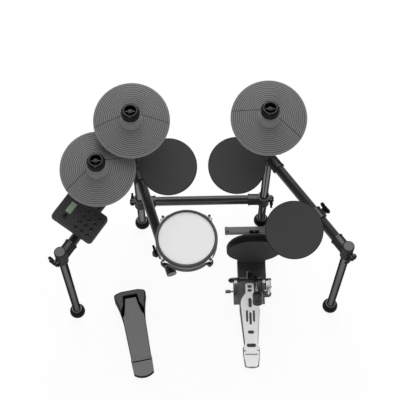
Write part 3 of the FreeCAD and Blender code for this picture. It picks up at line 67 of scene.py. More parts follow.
# the floor point midway between the rear posts; the stations below are measured from it
kitOrigin = (nodeMiddle("rear_post_left") + nodeMiddle("rear_post_right")) / 2 * (1, 1, 0)

# camera, at the photograph's height and lean
cameraSetup = {"place": (-0.0492, -1.9253, 4.352), "elevation": 65.0, "sway": 0.02164,
               "lens": 99.36, "sensor": 36.0}
elevation = math.radians(cameraSetup["elevation"])
lookAlong = Vector((cameraSetup["sway"] * math.cos(elevation), math.cos(elevation), -math.sin(elevation)))
camera = bpy.data.objects.new("camera", bpy.data.cameras.new("camera"))
camera.data.lens = cameraSetup["lens"]
camera.data.sensor_width = cameraSetup["sensor"]
camera.location = kitOrigin + cameraSetup["place"]
camera.rotation_euler = lookAlong.to_track_quat("-Z", "Y").to_euler()
scene.collection.objects.link(camera)
scene.camera = camera


# a node group with named sockets; kinds are float, color or normal
def newGroup(name, inputs, outputs):
    group = bpy.data.node_groups.new(name, "ShaderNodeTree")
    kinds = {"float": "NodeSocketFloat", "color": "NodeSocketColor", "normal": "NodeSocketVector"}
    for label, kind, value in inputs:
        socket = group.interface.new_socket(name=label, in_out="INPUT", socket_type=kinds[kind])
        if value is not None:
            socket.default_value = value
    for label, kind in outputs:
        group.interface.new_socket(name=label, in_out="OUTPUT", socket_type=kinds[kind])
    return group, group.nodes.new("NodeGroupInput"), group.nodes.new("NodeGroupOutput")


def addNode(tree, kind, **settings):
    node = tree.nodes.new(kind)
    for label, value in settings.items():
        setattr(node, label, value)
    return node


def fillSockets(node, values):
    for label, value in values.items():
        node.inputs[label].default_value = value


def math2(tree, operation, first, second=0.0):
    node = addNode(tree, "ShaderNodeMath", operation=operation)
    for socket, value in zip(node.inputs, (first, second)):
        if isinstance(value, (int, float)):
            socket.default_value = value
        else:
            tree.links.new(value, socket)
    return node.outputs[0]


def scaleColor(tree, color, gain):
    tint = addNode(tree, "ShaderNodeVectorMath", operation="SCALE")
    tree.links.new(color, tint.inputs[0])
    tree.links.new(gain, tint.inputs["Scale"])
    return tint.outputs[0]


grainSetup = {"fineDetail": 3, "broadDetail": 5, "noiseMiddle": 0.5, "colorSpeck": 0.6, "glossSpeck": 0.5,
              "glossFrom": 0.3, "glossTo": 0.7, "bump": 0.0004}


# surfaceGrain: two noises, one fine for the bump and one broad for the drift of colour and gloss
def buildSurfaceGrain(setup):
    group, given, made = newGroup("surfaceGrain", [
        ("Color", "color", (0.1, 0.1, 0.1, 1)), ("Spread", "float", 0.1), ("Grain Scale", "float", 900.0),
        ("Grain Depth", "float", 0.1), ("Patch Scale", "float", 18.0), ("Rough Low", "float", 0.4),
        ("Rough High", "float", 0.5)], [("Color", "color"), ("Roughness", "float"), ("Normal", "normal")])
    links = group.links
    place = addNode(group, "ShaderNodeTexCoord")
    fine = addNode(group, "ShaderNodeTexNoise")
    fine.inputs["Detail"].default_value = setup["fineDetail"]
    links.new(place.outputs["Object"], fine.inputs["Vector"])
    links.new(given.outputs["Grain Scale"], fine.inputs["Scale"])
    broad = addNode(group, "ShaderNodeTexNoise")
    broad.inputs["Detail"].default_value = setup["broadDetail"]
    links.new(place.outputs["Object"], broad.inputs["Vector"])
    links.new(given.outputs["Patch Scale"], broad.inputs["Scale"])
    drift = math2(group, "SUBTRACT", broad.outputs["Fac"], setup["noiseMiddle"])
    speck = math2(group, "SUBTRACT", fine.outputs["Fac"], setup["noiseMiddle"])
    both = math2(group, "ADD", drift, math2(group, "MULTIPLY", speck, setup["colorSpeck"]))
    gain = math2(group, "ADD", math2(group, "MULTIPLY", both, given.outputs["Spread"]), 1.0)
    links.new(scaleColor(group, given.outputs["Color"], gain), made.inputs["Color"])
    rough = addNode(group, "ShaderNodeMapRange")
    gloss = math2(group, "ADD", broad.outputs["Fac"], math2(group, "MULTIPLY", speck, setup["glossSpeck"]))
    links.new(gloss, rough.inputs["Value"])
    fillSockets(rough, {"From Min": setup["glossFrom"], "From Max": setup["glossTo"]})
    links.new(given.outputs["Rough Low"], rough.inputs["To Min"])
    links.new(given.outputs["Rough High"], rough.inputs["To Max"])
    links.new(rough.outputs[0], made.inputs["Roughness"])
    bump = addNode(group, "ShaderNodeBump")
    bump.inputs["Distance"].default_value = setup["bump"]
    links.new(given.outputs["Grain Depth"], bump.inputs["Strength"])
    links.new(fine.outputs["Fac"], bump.inputs["Height"])
    links.new(bump.outputs[0], made.inputs["Normal"])
    return group


weaveSetup = {"distortion": 0.4, "detail": 1.0, "bump": 0.0003}


# wovenFace: two crossed wave patterns make the fine fabric print of a rubber pad or the threads of a mesh
def buildWovenFace(setup):
    group, given, made = newGroup("wovenFace", [
        ("Color", "color", (0.1, 0.1, 0.1, 1)), ("Normal", "normal", None),
        ("Threads per Metre", "float", 600.0), ("Depth", "float", 0.2), ("Shade", "float", 0.15)],
        [("Color", "color"), ("Normal", "normal")])
    links = group.links
    place = addNode(group, "ShaderNodeTexCoord")
    heights = []
    for direction in ("X", "Y"):
        wave = addNode(group, "ShaderNodeTexWave", bands_direction=direction)
        fillSockets(wave, {"Distortion": setup["distortion"], "Detail": setup["detail"]})
        links.new(place.outputs["Object"], wave.inputs["Vector"])
        links.new(given.outputs["Threads per Metre"], wave.inputs["Scale"])
        heights.append(wave.outputs["Fac"])
    height = math2(group, "MULTIPLY", heights[0], heights[1])
    gain = math2(group, "SUBTRACT", 1.0, math2(group, "MULTIPLY", height, given.outputs["Shade"]))
    links.new(scaleColor(group, given.outputs["Color"], gain), made.inputs["Color"])
    bump = addNode(group, "ShaderNodeBump")
    bump.inputs["Distance"].default_value = setup["bump"]
    links.new(given.outputs["Depth"], bump.inputs["Strength"])
    links.new(height, bump.inputs["Height"])
    links.new(given.outputs["Normal"], bump.inputs["Normal"])
    links.new(bump.outputs[0], made.inputs["Normal"])
    return group


# ringedRubber: paints shade down in the grooves, and darkens a colour along two straight seams that run out to the
# rim
def buildRingedRubber():
    group, given, made = newGroup("ringedRubber", [
        ("Color", "color", (0.1, 0.1, 0.1, 1)), ("Groove", "float", 0.0), ("Groove Shade", "float", 0.5),
        ("Place", "normal", None), ("First Seam", "float", 0.0), ("Second Seam", "float", 3.0),
        ("Seam Start", "float", 0.026), ("Seam Half Width", "float", 0.0013), ("Seam Shade", "float", 0.8),
        ("Bell", "float", 0.036)], [("Color", "color")])
    links = group.links
    split = addNode(group, "ShaderNodeSeparateXYZ")
    links.new(given.outputs["Place"], split.inputs[0])
    reach = addNode(group, "ShaderNodeVectorMath", operation="LENGTH")
    links.new(given.outputs["Place"], reach.inputs[0])
    beyond = math2(group, "GREATER_THAN", reach.outputs["Value"], given.outputs["Bell"])
    along = math2(group, "SUBTRACT", split.outputs["Y"], given.outputs["Seam Start"])
    shade = math2(group, "MULTIPLY", given.outputs["Groove"], given.outputs["Groove Shade"])
    for label in ("First Seam", "Second Seam"):
        cosine = math2(group, "COSINE", given.outputs[label])
        sine = math2(group, "SINE", given.outputs[label])
        aside = math2(group, "SUBTRACT", math2(group, "MULTIPLY", along, cosine),
                      math2(group, "MULTIPLY", split.outputs["X"], sine))
        ahead = math2(group, "ADD", math2(group, "MULTIPLY", along, sine),
                      math2(group, "MULTIPLY", split.outputs["X"], cosine))
        near = math2(group, "LESS_THAN", math2(group, "ABSOLUTE", aside), given.outputs["Seam Half Width"])
        outward = math2(group, "MULTIPLY", near, math2(group, "GREATER_THAN", ahead, 0.0))
        line = math2(group, "MULTIPLY", outward, beyond)
        shade = math2(group, "MAXIMUM", shade, math2(group, "MULTIPLY", line, given.outputs["Seam Shade"]))
    gain = math2(group, "SUBTRACT", 1.0, shade)
    links.new(scaleColor(group, given.outputs["Color"], gain), made.inputs["Color"])
    return group


surfaceGrain = buildSurfaceGrain(grainSetup)
wovenFace = buildWovenFace(weaveSetup)
ringedRubber = buildRingedRubber()
plainPatch = 18.0
shaderLabels = ("Metallic", "Coat Weight", "Specular IOR Level", "Specular Tint")


# a finish: the grain group, then a weave or grooves over it where the finish has them, into one Principled shader
def makeFinish(name, finish):
    material = bpy.data.materials.new(name)
    material.use_nodes = True
    tree = material.node_tree
    shader = tree.nodes["Principled BSDF"]
    grain = addNode(tree, "ShaderNodeGroup", node_tree=surfaceGrain)
    low, high = finish["roughness"]
    fillSockets(grain, {"Color": (*finish["color"], 1), "Spread": finish["spread"],
                        "Grain Scale": finish["grain"], "Grain Depth": finish["depth"],
                        "Patch Scale": finish.get("patch", plainPatch), "Rough Low": low, "Rough High": high})
    color, normal = grain.outputs["Color"], grain.outputs["Normal"]
    if "threads" in finish:
        weave = addNode(tree, "ShaderNodeGroup", node_tree=wovenFace)
        fillSockets(weave, {"Threads per Metre": finish["threads"], "Depth": finish["weaveDepth"],
                            "Shade": finish["weaveShade"]})
        tree.links.new(color, weave.inputs["Color"])
        tree.links.new(normal, weave.inputs["Normal"])
        color, normal = weave.outputs["Color"], weave.outputs["Normal"]
    if "seams" in finish:
        rings = addNode(tree, "ShaderNodeGroup", node_tree=ringedRubber)
        groove = addNode(tree, "ShaderNodeAttribute", attribute_name="groove")
        place = addNode(tree, "ShaderNodeAttribute", attribute_name="discPlace")
        first, second = np.radians(finish["seams"])
        fillSockets(rings, {"Groove Shade": finish["grooveShade"], "First Seam": first, "Second Seam": second})
        tree.links.new(color, rings.inputs["Color"])
        tree.links.new(groove.outputs["Fac"], rings.inputs["Groove"])
        tree.links.new(place.outputs["Vector"], rings.inputs["Place"])
        color = rings.outputs["Color"]
    tree.links.new(color, shader.inputs["Base Color"])
    tree.links.new(normal, shader.inputs["Normal"])
    tree.links.new(grain.outputs["Roughness"], shader.inputs["Roughness"])
    fillSockets(shader, {label: finish[label] for label in shaderLabels if label in finish})
    return material


# the axes of a station: across, along and out of it
def stationAxes(out):
    out = np.array(out) / np.linalg.norm(out)
    across = np.array((1.0, 0, 0)) - out * out[0]
    across /= np.linalg.norm(across)
    return np.stack([across, np.cross(out, across), out])


def leaningOut(degrees):
    lean = math.radians(degrees)
    return np.array((0.0, -math.sin(lean), math.cos(lean)))


def faceVectors(name, what):
    data = nodes[name].data
    values = np.empty(len(data.polygons) * 3)
    data.polygons.foreach_get(what, values)
    return values.reshape(-1, 3)


# face middles of a CAD node in metres, in a station's axes
def faceMiddles(name, origin=(0, 0, 0), out=(0, 0, 1)):
    return (faceVectors(name, "center") - np.array(origin)) @ stationAxes(out).T


# how far each face of a CAD node looks along a direction, from -1 to 1
def facing(name, out=(0, 0, 1)):
    return faceVectors(name, "normal") @ np.array(out)


def dress(names, *materials):
    for name in names:
        data = nodes[name].data
        data.materials.clear()
        for material in materials:
            data.materials.append(material)


# a CAD node in one finish, with others on the faces that their masks pick out
def dressParts(name, base, *parts):
    masks, materials = zip(*parts)
    dress([name], base, *materials)
    index = np.select(list(masks), list(range(1, len(parts) + 1)), 0)
    data = nodes[name].data
    data.polygons.foreach_set("material_index", index.astype(np.int32))
    data.update()


weldDistance = 1e-6


# a mesh from grids of points (rows, columns, 3); a closed grid joins its last column to its first
def gridMesh(name, grids, closed=True, smooth=True, values=None):
    points, faces, count = [], [], 0
    for grid in grids:
        rows, columns = grid.shape[:2]
        index = count + np.arange(rows * columns).reshape(rows, columns)
        near = index if closed else index[:, :-1]
        far = np.roll(index, -1, 1) if closed else index[:, 1:]
        faces.append(np.stack([near[:-1], far[:-1], far[1:], near[1:]], -1).reshape(-1, 4))
        points.append(grid.reshape(-1, 3))
        count += rows * columns
    data = bpy.data.meshes.new(name)
    data.from_pydata(np.concatenate(points).tolist(), [], np.concatenate(faces).tolist())
    for label, (kind, field, numbers) in (values or {}).items():
        attribute = data.attributes.new(label, kind, "POINT")
        attribute.data.foreach_set(field, np.ascontiguousarray(numbers, float).ravel())
    shape = bmesh.new()
    shape.from_mesh(data)
    bmesh.ops.remove_doubles(shape, verts=shape.verts, dist=weldDistance)
    bmesh.ops.recalc_face_normals(shape, faces=shape.faces)
    shape.to_mesh(data)
    shape.free()
    data.polygons.foreach_set("use_smooth", np.full(len(data.polygons), smooth))
    piece = bpy.data.objects.new(name, data)
    scene.collection.objects.link(piece)
    return piece


# a profile of (radius, height) turned round an axis: x = r cos a, y = r sin a, z = height, set on its station
def turnedGrid(radius, height, angles, origin, out):
    across, along, out = stationAxes(out)
    ring = np.cos(angles)[None, :, None] * across + np.sin(angles)[None, :, None] * along
    return np.array(origin) + np.asarray(radius)[:, None, None] * ring + np.asarray(height)[:, None, None] * out


def finishPiece(piece, material, body=None):
    piece.data.materials.append(material)
    if body:
        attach(piece, body)
    return piece


# rack: dark bright-drawn posts and legs, satin black bars, moulded clamps and rubber feet
rackTubes = {"color": (0.31, 0.31, 0.312), "roughness": (0.14, 0.2), "spread": 0.15, "grain": 1400.0,
             "depth": 0.04, "patch": 9.0, "Metallic": 1.0, "Specular Tint": (0, 0, 0, 1)}
dress(["rear_post_left", "rear_post_right", "left_leg", "right_leg"], makeFinish("darkTube", rackTubes))

rackBars = {"color": (0.018, 0.018, 0.0185), "roughness": (0.24, 0.34), "spread": 0.2, "grain": 1400.0,
            "depth": 0.04, "patch": 9.0, "Specular IOR Level": 0.5}
dress(["crossbar", "left_arm", "right_arm", "snare_arm"], makeFinish("satinBar", rackBars))

clampMoulding = {"color": (0.028, 0.028, 0.029), "roughness": (0.42, 0.56), "spread": 0.25, "grain": 1100.0,
                 "depth": 0.2, "patch": 25.0, "Specular IOR Level": 0.05}
# the clamps' upward faces get a lighter grey than the moulding: painted light on their tops
clampPaintedLitTop = {"color": (0.12, 0.12, 0.121), "roughness": (0.45, 0.6), "spread": 0.15, "grain": 1100.0,
            "depth": 0.15, "Specular IOR Level": 0.2, "upward": 0.95}
clampPlastic, paintedLitTop = makeFinish("clampPlastic", clampMoulding), makeFinish("clampPaintedLitTop", clampPaintedLitTop)
for name in ("tee_clamps", "rod_clamps"):
    dressParts(name, clampPlastic, (facing(name) > clampPaintedLitTop["upward"], paintedLitTop))

screwMoulding = {"color": (0.006, 0.006, 0.0062), "roughness": (0.4, 0.52), "spread": 0.25, "grain": 1100.0,
                 "depth": 0.15, "Specular IOR Level": 0.06}
dress(["wing_screws", "module_clamp"], makeFinish("screwPlastic", screwMoulding))

footMoulding = {"color": (0.006, 0.006, 0.006), "roughness": (0.55, 0.75), "spread": 0.4, "grain": 700.0,
                "depth": 0.25, "Specular IOR Level": 0.12}
# the collar at the top of each rubber foot is painted light grey: a painted highlight on the black rubber
footCollarHighlight = {"color": (0.18, 0.18, 0.181), "roughness": (0.4, 0.5), "spread": 0.2, "grain": 900.0,
              "depth": 0.1, "Specular IOR Level": 0.3, "from": 0.0375}
isCollar = faceMiddles("rubber_feet")[:, 2] > footCollarHighlight["from"]
dressParts("rubber_feet", makeFinish("footRubber", footMoulding), (isCollar, makeFinish("footCollarHighlight", footCollarHighlight)))

rodPaint = {"color": (0.012, 0.012, 0.0125), "roughness": (0.28, 0.42), "spread": 0.25, "grain": 1500.0,
            "depth": 0.06, "Specular IOR Level": 0.3}
rodBlack = makeFinish("rodBlack", rodPaint)
dress(["cymbal_rods", "pad_rods"], rodBlack)

brightMetal = {"color": (0.58, 0.585, 0.6), "roughness": (0.16, 0.28), "spread": 0.06, "grain": 1200.0,
               "depth": 0.03, "Metallic": 1.0}
chrome = makeFinish("chrome", brightMetal)
print("rack dressed")

# rubber pads on their moulded shells; the playing face is printed with a fine weave, the sides are plain black,
# and the rounded rim of the face is painted near black as painted shade
padStations = {"left_tom": ((-0.126, -0.1, 0.734), 17.0), "right_tom": ((0.126, -0.1, 0.734), 17.0),
               "floor_tom": ((0.325, -0.349, 0.702), 18.0), "kick": ((0.205, -0.234, 0.22), 90.0)}
padFace = {"color": (0.047, 0.047, 0.047), "roughness": (0.62, 0.75), "spread": 0.12, "grain": 1600.0,
           "depth": 0.12, "threads": 420.0, "weaveDepth": 0.35, "weaveShade": 0.22,
           "Specular IOR Level": 0.2, "shadedEdgeDrop": 0.0001}
# the kick pad's upright face is the same rubber, given a darker copy of its colour: painted shade
kickShadedFace = {**padFace, "color": (0.024, 0.024, 0.024)}
padEdge = {"color": (0.004, 0.004, 0.004), "roughness": (0.5, 0.62), "spread": 0.2, "grain": 1200.0,
           "depth": 0.1, "Specular IOR Level": 0.08}
padShell = {"color": (0.009, 0.009, 0.0095), "roughness": (0.4, 0.52), "spread": 0.2, "grain": 900.0,
            "depth": 0.15, "Specular IOR Level": 0.2}
padRubber, kickRubber = makeFinish("padRubber", padFace), makeFinish("kickRubber", kickShadedFace)
padSide = makeFinish("padSide", padEdge)
shellPlastic = makeFinish("shellPlastic", padShell)
for name, (place, lean) in padStations.items():
    height = faceMiddles(name + "_pad", kitOrigin + place, leaningOut(lean))[:, 2]
    rubber = kickRubber if name == "kick" else padRubber
    # faces below the playing face take the near-black side finish: the sides are black rubber, the rounded rim is
    # painted shade
    dressParts(name + "_pad", rubber, (height < -padFace["shadedEdgeDrop"], padSide))
dress([name + "_housing" for name in ("left_tom", "right_tom", "floor_tom", "kick_pad")], shellPlastic)
print("pads dressed")

# snare: moulded shell, layered hoop whose inner lip is painted near black as painted shade against the head,
# bright ears under black screws, white mesh head
snareSetup = {"middle": (-0.064, -0.373, 0.7), "tilt": 2.0, "radius": 0.1033, "dip": 0.0006, "skirt": 0.01,
              "skirtFrom": 0.2, "rows": 40, "skirtRows": 4, "columns": 128, "lipReach": 0.1035,
              "earBottom": -0.0145, "screwReach": 0.119, "screwRadius": 0.0056, "upward": 0.9}
hoopPaint = {"color": (0.075, 0.075, 0.076), "roughness": (0.28, 0.4), "spread": 0.2, "grain": 1500.0,
             "depth": 0.05, "Specular IOR Level": 0.4}
earMetal = {"color": (0.9, 0.9, 0.905), "roughness": (0.3, 0.42), "spread": 0.06, "grain": 1200.0,
            "depth": 0.04, "Metallic": 0.1}
meshCloth = {"color": (0.72, 0.722, 0.724), "roughness": (0.6, 0.75), "spread": 0.05, "grain": 2000.0,
             "depth": 0.05, "threads": 300.0, "weaveDepth": 0.35, "weaveShade": 0.12}
snareMiddle = kitOrigin + snareSetup["middle"]
snareOut = leaningOut(snareSetup["tilt"])
dress(["snare_shell"], shellPlastic)
local = faceMiddles("snare_hoop", snareMiddle, snareOut)
# the hoop's inner lip, where it meets the head, is painted near black: painted shade in that crease
isLip = np.hypot(local[:, 0], local[:, 1]) < snareSetup["lipReach"]
dressParts("snare_hoop", makeFinish("hoopGrey", hoopPaint), (isLip, padSide))
local = faceMiddles("snare_lugs", snareMiddle, snareOut)
quarter = snareSetup["screwReach"] / math.sqrt(2)
offScrew = np.hypot(np.abs(local[:, 0]) - quarter, np.abs(local[:, 1]) - quarter)
isEar = local[:, 2] > snareSetup["earBottom"]
isScrew = (offScrew < snareSetup["screwRadius"]) & (facing("snare_lugs", snareOut) > snareSetup["upward"])
earSatin = makeFinish("earSatin", earMetal)
dressParts("snare_lugs", shellPlastic, (isEar & ~isScrew, earSatin), (isEar & isScrew, rodBlack))


# head: flat disc that dips a little to its middle, z = -dip (1 - (r / R)^2), with a skirt turned down at the rim
def meshHead(setup):
    share = np.linspace(0, 1, setup["rows"])
    drop = np.linspace(setup["skirtFrom"], 1, setup["skirtRows"])
    radius = np.concatenate([share, np.ones(setup["skirtRows"])]) * setup["radius"]
    height = np.concatenate([-setup["dip"] * (1 - share ** 2), -setup["skirt"] * drop])
    angles = np.linspace(0, 2 * math.pi, setup["columns"], endpoint=False)
    return gridMesh("mesh_head", [turnedGrid(radius, height, angles, snareMiddle, snareOut)])


head = finishPiece(meshHead(snareSetup), makeFinish("meshCloth", meshCloth), "snare")
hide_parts("snare_head")
print("snare dressed")

# cymbals: grooved grey rubber with a smooth bell, drooping on upright tilter stems
cymbalSetup = {"radius": 0.136, "edge": 0.004, "bow": 0.022, "bowShare": 0.6, "rimRound": 0.003,
               "rimLand": 0.004, "rimStep": 0.002, "rimStepHeight": 0.0015, "bell": 0.036, "bellHeight": 0.044,
               "bellFlat": 0.008, "bellFoot": 0.002, "shoulder": (0.004, 0.013), "underFlat": 0.006,
               "hollow": (0.008, 0.008), "underFoot": 0.003, "skin": 0.005, "hole": 0.0074,
               "holeMiddle": 0.0415, "tilt": 17.0, "grooveFrom": 0.0398, "grooveTo": 0.1329,
               "groovePitch": 0.0069, "grooveDepth": 0.0008, "columns": 300, "grooveSamples": 11,
               "landSamples": 14, "bellSamples": 20, "rimSamples": 7, "underSamples": 24, "hollowSamples": 10}
seamAngles = {"crash": (200.0, -16.0), "ride": (180.0, -42.0), "hi_hat": (222.0, 6.0)}
cymbalFace = {"color": (0.185, 0.185, 0.186), "roughness": (0.5, 0.62), "spread": 0.1, "grain": 1300.0,
              "depth": 0.1, "patch": 14.0, "grooveShade": 0.8, "Specular IOR Level": 0.2}
cymbalOut = leaningOut(cymbalSetup["tilt"])


# the arc through three points of a profile, sampled evenly
def arcThrough(start, through, end, count):
    (ax, ay), (bx, by), (cx, cy) = start, through, end
    turn = 2 * (ax * (by - cy) + bx * (cy - ay) + cx * (ay - by))
    aa, bb, cc = ax * ax + ay * ay, bx * bx + by * by, cx * cx + cy * cy
    middle = np.array((aa * (by - cy) + bb * (cy - ay) + cc * (ay - by),
                       aa * (cx - bx) + bb * (ax - cx) + cc * (bx - ax))) / turn
    size = np.hypot(ax - middle[0], ay - middle[1])
    first = math.atan2(ay - middle[1], ax - middle[0])
    mid = first + (math.atan2(by - middle[1], bx - middle[0]) - first + math.pi) % (2 * math.pi) - math.pi
    last = mid + (math.atan2(cy - middle[1], cx - middle[0]) - mid + math.pi) % (2 * math.pi) - math.pi
    sweep = np.linspace(first, last, count)
    return np.stack([middle[0] + size * np.cos(sweep), middle[1] + size * np.sin(sweep)], 1)


# a quarter round that leaves its start along the radius, or along the height when it is steep
def quarterRound(start, end, steep, count):
    lag = math.sqrt(0.5)
    (sx, sy), (ex, ey) = start, end
    flatMiddle = (sx + (ex - sx) * lag, ey + (sy - ey) * lag)
    steepMiddle = (ex + (sx - ex) * lag, sy + (ey - sy) * lag)
    return arcThrough(start, steepMiddle if steep else flatMiddle, end, count)


# cymbal: the turned profile of bell, bow and rim; each groove is a squared cosine dip along the radius
def groovedCymbal(name, setup):
    rim, edge, bow, bell = setup["radius"], setup["edge"], setup["bow"], setup["bell"]
    high, skin, hole = setup["bellHeight"], setup["skin"], setup["hole"]
    grooves = int((setup["grooveTo"] - setup["grooveFrom"]) / setup["groovePitch"])
    bowSamples = grooves * setup["grooveSamples"] + setup["landSamples"]
    middleBow = ((rim + bell) / 2, edge + (bow - edge) * setup["bowShare"])
    shoulder = (bell - setup["shoulder"][0], bow + setup["shoulder"][1])
    hollow = (bell - setup["hollow"][0], bow + setup["hollow"][1])
    crown, foot = (hole + setup["bellFlat"], high), (bell + setup["bellFoot"], bow)
    land, brink = (rim - setup["rimLand"], -edge), (rim - setup["rimRound"], edge)
    step = (land[0] - setup["rimStep"], setup["rimStepHeight"] - edge)
    underBow = (middleBow[0], middleBow[1] - skin)
    underFoot = (bell - setup["underFoot"], bow - skin)
    underCrown = (hole + setup["underFlat"], high - skin)
    top = [arcThrough(crown, shoulder, foot, setup["bellSamples"]),
           arcThrough(foot, middleBow, brink, bowSamples)[1:],
           quarterRound(brink, (rim, 0.0), False, setup["rimSamples"])[1:]]
    under = [quarterRound((rim, 0.0), land, True, setup["rimSamples"])[1:], np.array([step]),
             arcThrough(step, underBow, underFoot, setup["underSamples"])[1:],
             arcThrough(underFoot, hollow, underCrown, setup["hollowSamples"])[1:],
             np.array([(hole, high - skin), (hole, high), crown])]
    profile = np.concatenate(top + under)
    radius = profile[:, 0]
    angles = np.linspace(0, 2 * math.pi, setup["columns"], endpoint=False)
    onTop = np.arange(len(profile)) < sum(len(part) for part in top)
    inZone = onTop & (radius > setup["grooveFrom"]) & (radius < setup["grooveTo"])
    phase = (radius - setup["grooveFrom"]) / setup["groovePitch"] * 2 * math.pi
    groove = np.where(inZone, (0.5 - 0.5 * np.cos(phase)) ** 2, 0.0)
    height = profile[:, 1] - groove * setup["grooveDepth"]
    origin = np.array(joints[name + "_rock"]["pos_m"]) - cymbalOut * setup["holeMiddle"]
    grid = turnedGrid(radius, height, angles, origin, cymbalOut)
    flat = turnedGrid(radius, height * 0, angles, (0, 0, 0), (0, 0, 1))
    # the groove value also paints shade down in each groove, through ringedRubber
    values = {"groove": ("FLOAT", "value", np.repeat(groove, len(angles))),
              "discPlace": ("FLOAT_VECTOR", "vector", flat)}
    return gridMesh(name + "_rubber", [grid], values=values)


# stems: the painted foot, two felts, the cup with a painted highlight on its rim top, and the wing nut in the cup
stemSetup = {"tilt": -2.0, "washerTop": 0.099, "cupBase": 0.138, "cupFloor": 0.1462, "shaft": 0.0058,
             "recess": 0.0212, "nutReach": 0.0192, "rim": 0.0252, "cupTop": 0.1645}
cupBlack = {"color": (0.004, 0.004, 0.0041), "roughness": (0.18, 0.28), "spread": 0.2, "grain": 1200.0,
            "depth": 0.04, "Specular IOR Level": 0.12}
cupEdgeHighlight = {"color": (0.03, 0.03, 0.031), "roughness": (0.35, 0.45), "spread": 0.2, "grain": 1200.0,
           "depth": 0.06, "Specular IOR Level": 0.3}
feltGrey = {"color": (0.04, 0.04, 0.04), "roughness": (0.85, 0.95), "spread": 0.5, "grain": 2400.0,
            "depth": 0.6, "Specular IOR Level": 0.1}
nutMetal = {"color": (0.035, 0.035, 0.036), "roughness": (0.25, 0.36), "spread": 0.12, "grain": 1200.0,
            "depth": 0.05, "Metallic": 0.7}
stemOut = leaningOut(stemSetup["tilt"])
cupPlastic, cupRimHighlight = makeFinish("cupPlastic", cupBlack), makeFinish("cupRimHighlight", cupEdgeHighlight)
felt, nutSteel = makeFinish("felt", feltGrey), makeFinish("nutSteel", nutMetal)
for name, seams in seamAngles.items():
    rubber = makeFinish(name + "Rubber", {**cymbalFace, "seams": seams})
    cymbal = finishPiece(groovedCymbal(name, cymbalSetup), rubber, name)
    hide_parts(name + "_cymbal")
    local = faceMiddles(name + "_stem", joints[name + "_tilt"]["pos_m"], stemOut)
    reach, height = np.hypot(local[:, 0], local[:, 1]), local[:, 2]
    isFoot = height < stemSetup["washerTop"]
    isFelt = (height > stemSetup["washerTop"]) & (height < stemSetup["cupBase"]) & (reach > stemSetup["shaft"])
    isNut = (height > stemSetup["cupFloor"]) & (reach < stemSetup["nutReach"])
    # the top of the cup's rim is painted a lighter grey than the black cup: a painted highlight
    isRim = (height > stemSetup["cupTop"]) & (reach > stemSetup["recess"]) & (reach < stemSetup["rim"])
    dressParts(name + "_stem", cupPlastic, (isRim, cupRimHighlight), (isFelt, felt), (isNut, nutSteel), (isFoot, rodBlack))
print("cymbals made")

# sound module: dark moulding, pale green display, soft domed keys
caseMoulding = {"color": (0.042, 0.042, 0.0425), "roughness": (0.45, 0.58), "spread": 0.2, "grain": 1300.0,
                "depth": 0.2, "Specular IOR Level": 0.04}
displayGlass = {"color": (0.235, 0.315, 0.215), "roughness": (0.12, 0.2), "spread": 0.04, "grain": 500.0,
                "depth": 0.01, "Coat Weight": 0.2}
keyRubber = {"color": (0.003, 0.003, 0.003), "roughness": (0.2, 0.3), "spread": 0.2, "grain": 1000.0,
             "depth": 0.05, "Specular IOR Level": 0.5}
keys = ["volume_knob"] + [name for name in nodes if name.startswith("button_")]
dress(["module_case", "module_back"], makeFinish("casePlastic", caseMoulding))
dress(["module_screen"], makeFinish("displayGlass", displayGlass))
dress(keys, makeFinish("keyBlack", keyRubber))
print("module dressed")

# kick tower and pedal: painted steel, with painted light as a lighter grey on the tops of the rear bar and base
# plate, bright boards, black cam and beater head
pedalSetup = {"axle": (0.1895, -0.314, 0.11), "leverFrom": 0.066, "beaterLean": 47.0, "headFrom": 0.14,
              "bearing": 0.0135}
towerPaint = {"color": (0.058, 0.058, 0.0585), "roughness": (0.35, 0.48), "spread": 0.25, "grain": 1400.0,
              "depth": 0.1, "Specular IOR Level": 0.35}
barPaintedLight = {**towerPaint, "color": (0.15, 0.15, 0.151), "from": -0.12, "below": 0.06, "upward": 0.7}
platePaintedLight = {**towerPaint, "color": (0.15, 0.15, 0.151), "upward": 0.9}
boardMetal = {"color": (0.93, 0.93, 0.935), "roughness": (0.35, 0.48), "spread": 0.04, "grain": 900.0,
              "depth": 0.04}
beaterHead = {"color": (0.012, 0.012, 0.012), "roughness": (0.28, 0.4), "spread": 0.2, "grain": 1200.0,
              "depth": 0.1, "Specular IOR Level": 0.6}
axlePlace = kitOrigin + pedalSetup["axle"]
towerBlack = makeFinish("towerBlack", towerPaint)
local = faceMiddles("kick_tower", kitOrigin)
# the rear bar's upward faces get a lighter grey copy of the tower paint: painted light on its top
isBar = (local[:, 1] > barPaintedLight["from"]) & (local[:, 2] < barPaintedLight["below"])
isBarTop = isBar & (facing("kick_tower") > barPaintedLight["upward"])
dressParts("kick_tower", towerBlack, (isBarTop, makeFinish("barTopPaintedLight", barPaintedLight)))
local = faceMiddles("pedal_frame", axlePlace)
isBearing = np.hypot(local[:, 1], local[:, 2]) < pedalSetup["bearing"]
# the frame's upward faces get a lighter grey copy of the tower paint: painted light on its tops
isPlate = facing("pedal_frame") > platePaintedLight["upward"]
plateTopPaintedLight = makeFinish("plateTopPaintedLight", platePaintedLight)
dressParts("pedal_frame", towerBlack, (isPlate & ~isBearing, plateTopPaintedLight), (isBearing, chrome))
dress(["footboard", "heel_plate"], makeFinish("boardBright", boardMetal))
isLever = faceMiddles("pedal_axle", axlePlace)[:, 0] > pedalSetup["leverFrom"]
dressParts("pedal_axle", rodBlack, (isLever, chrome))
isHead = faceMiddles("beater", axlePlace, leaningOut(pedalSetup["beaterLean"]))[:, 2] > pedalSetup["headFrom"]
dressParts("beater", chrome, (isHead, makeFinish("beaterRubber", beaterHead)))

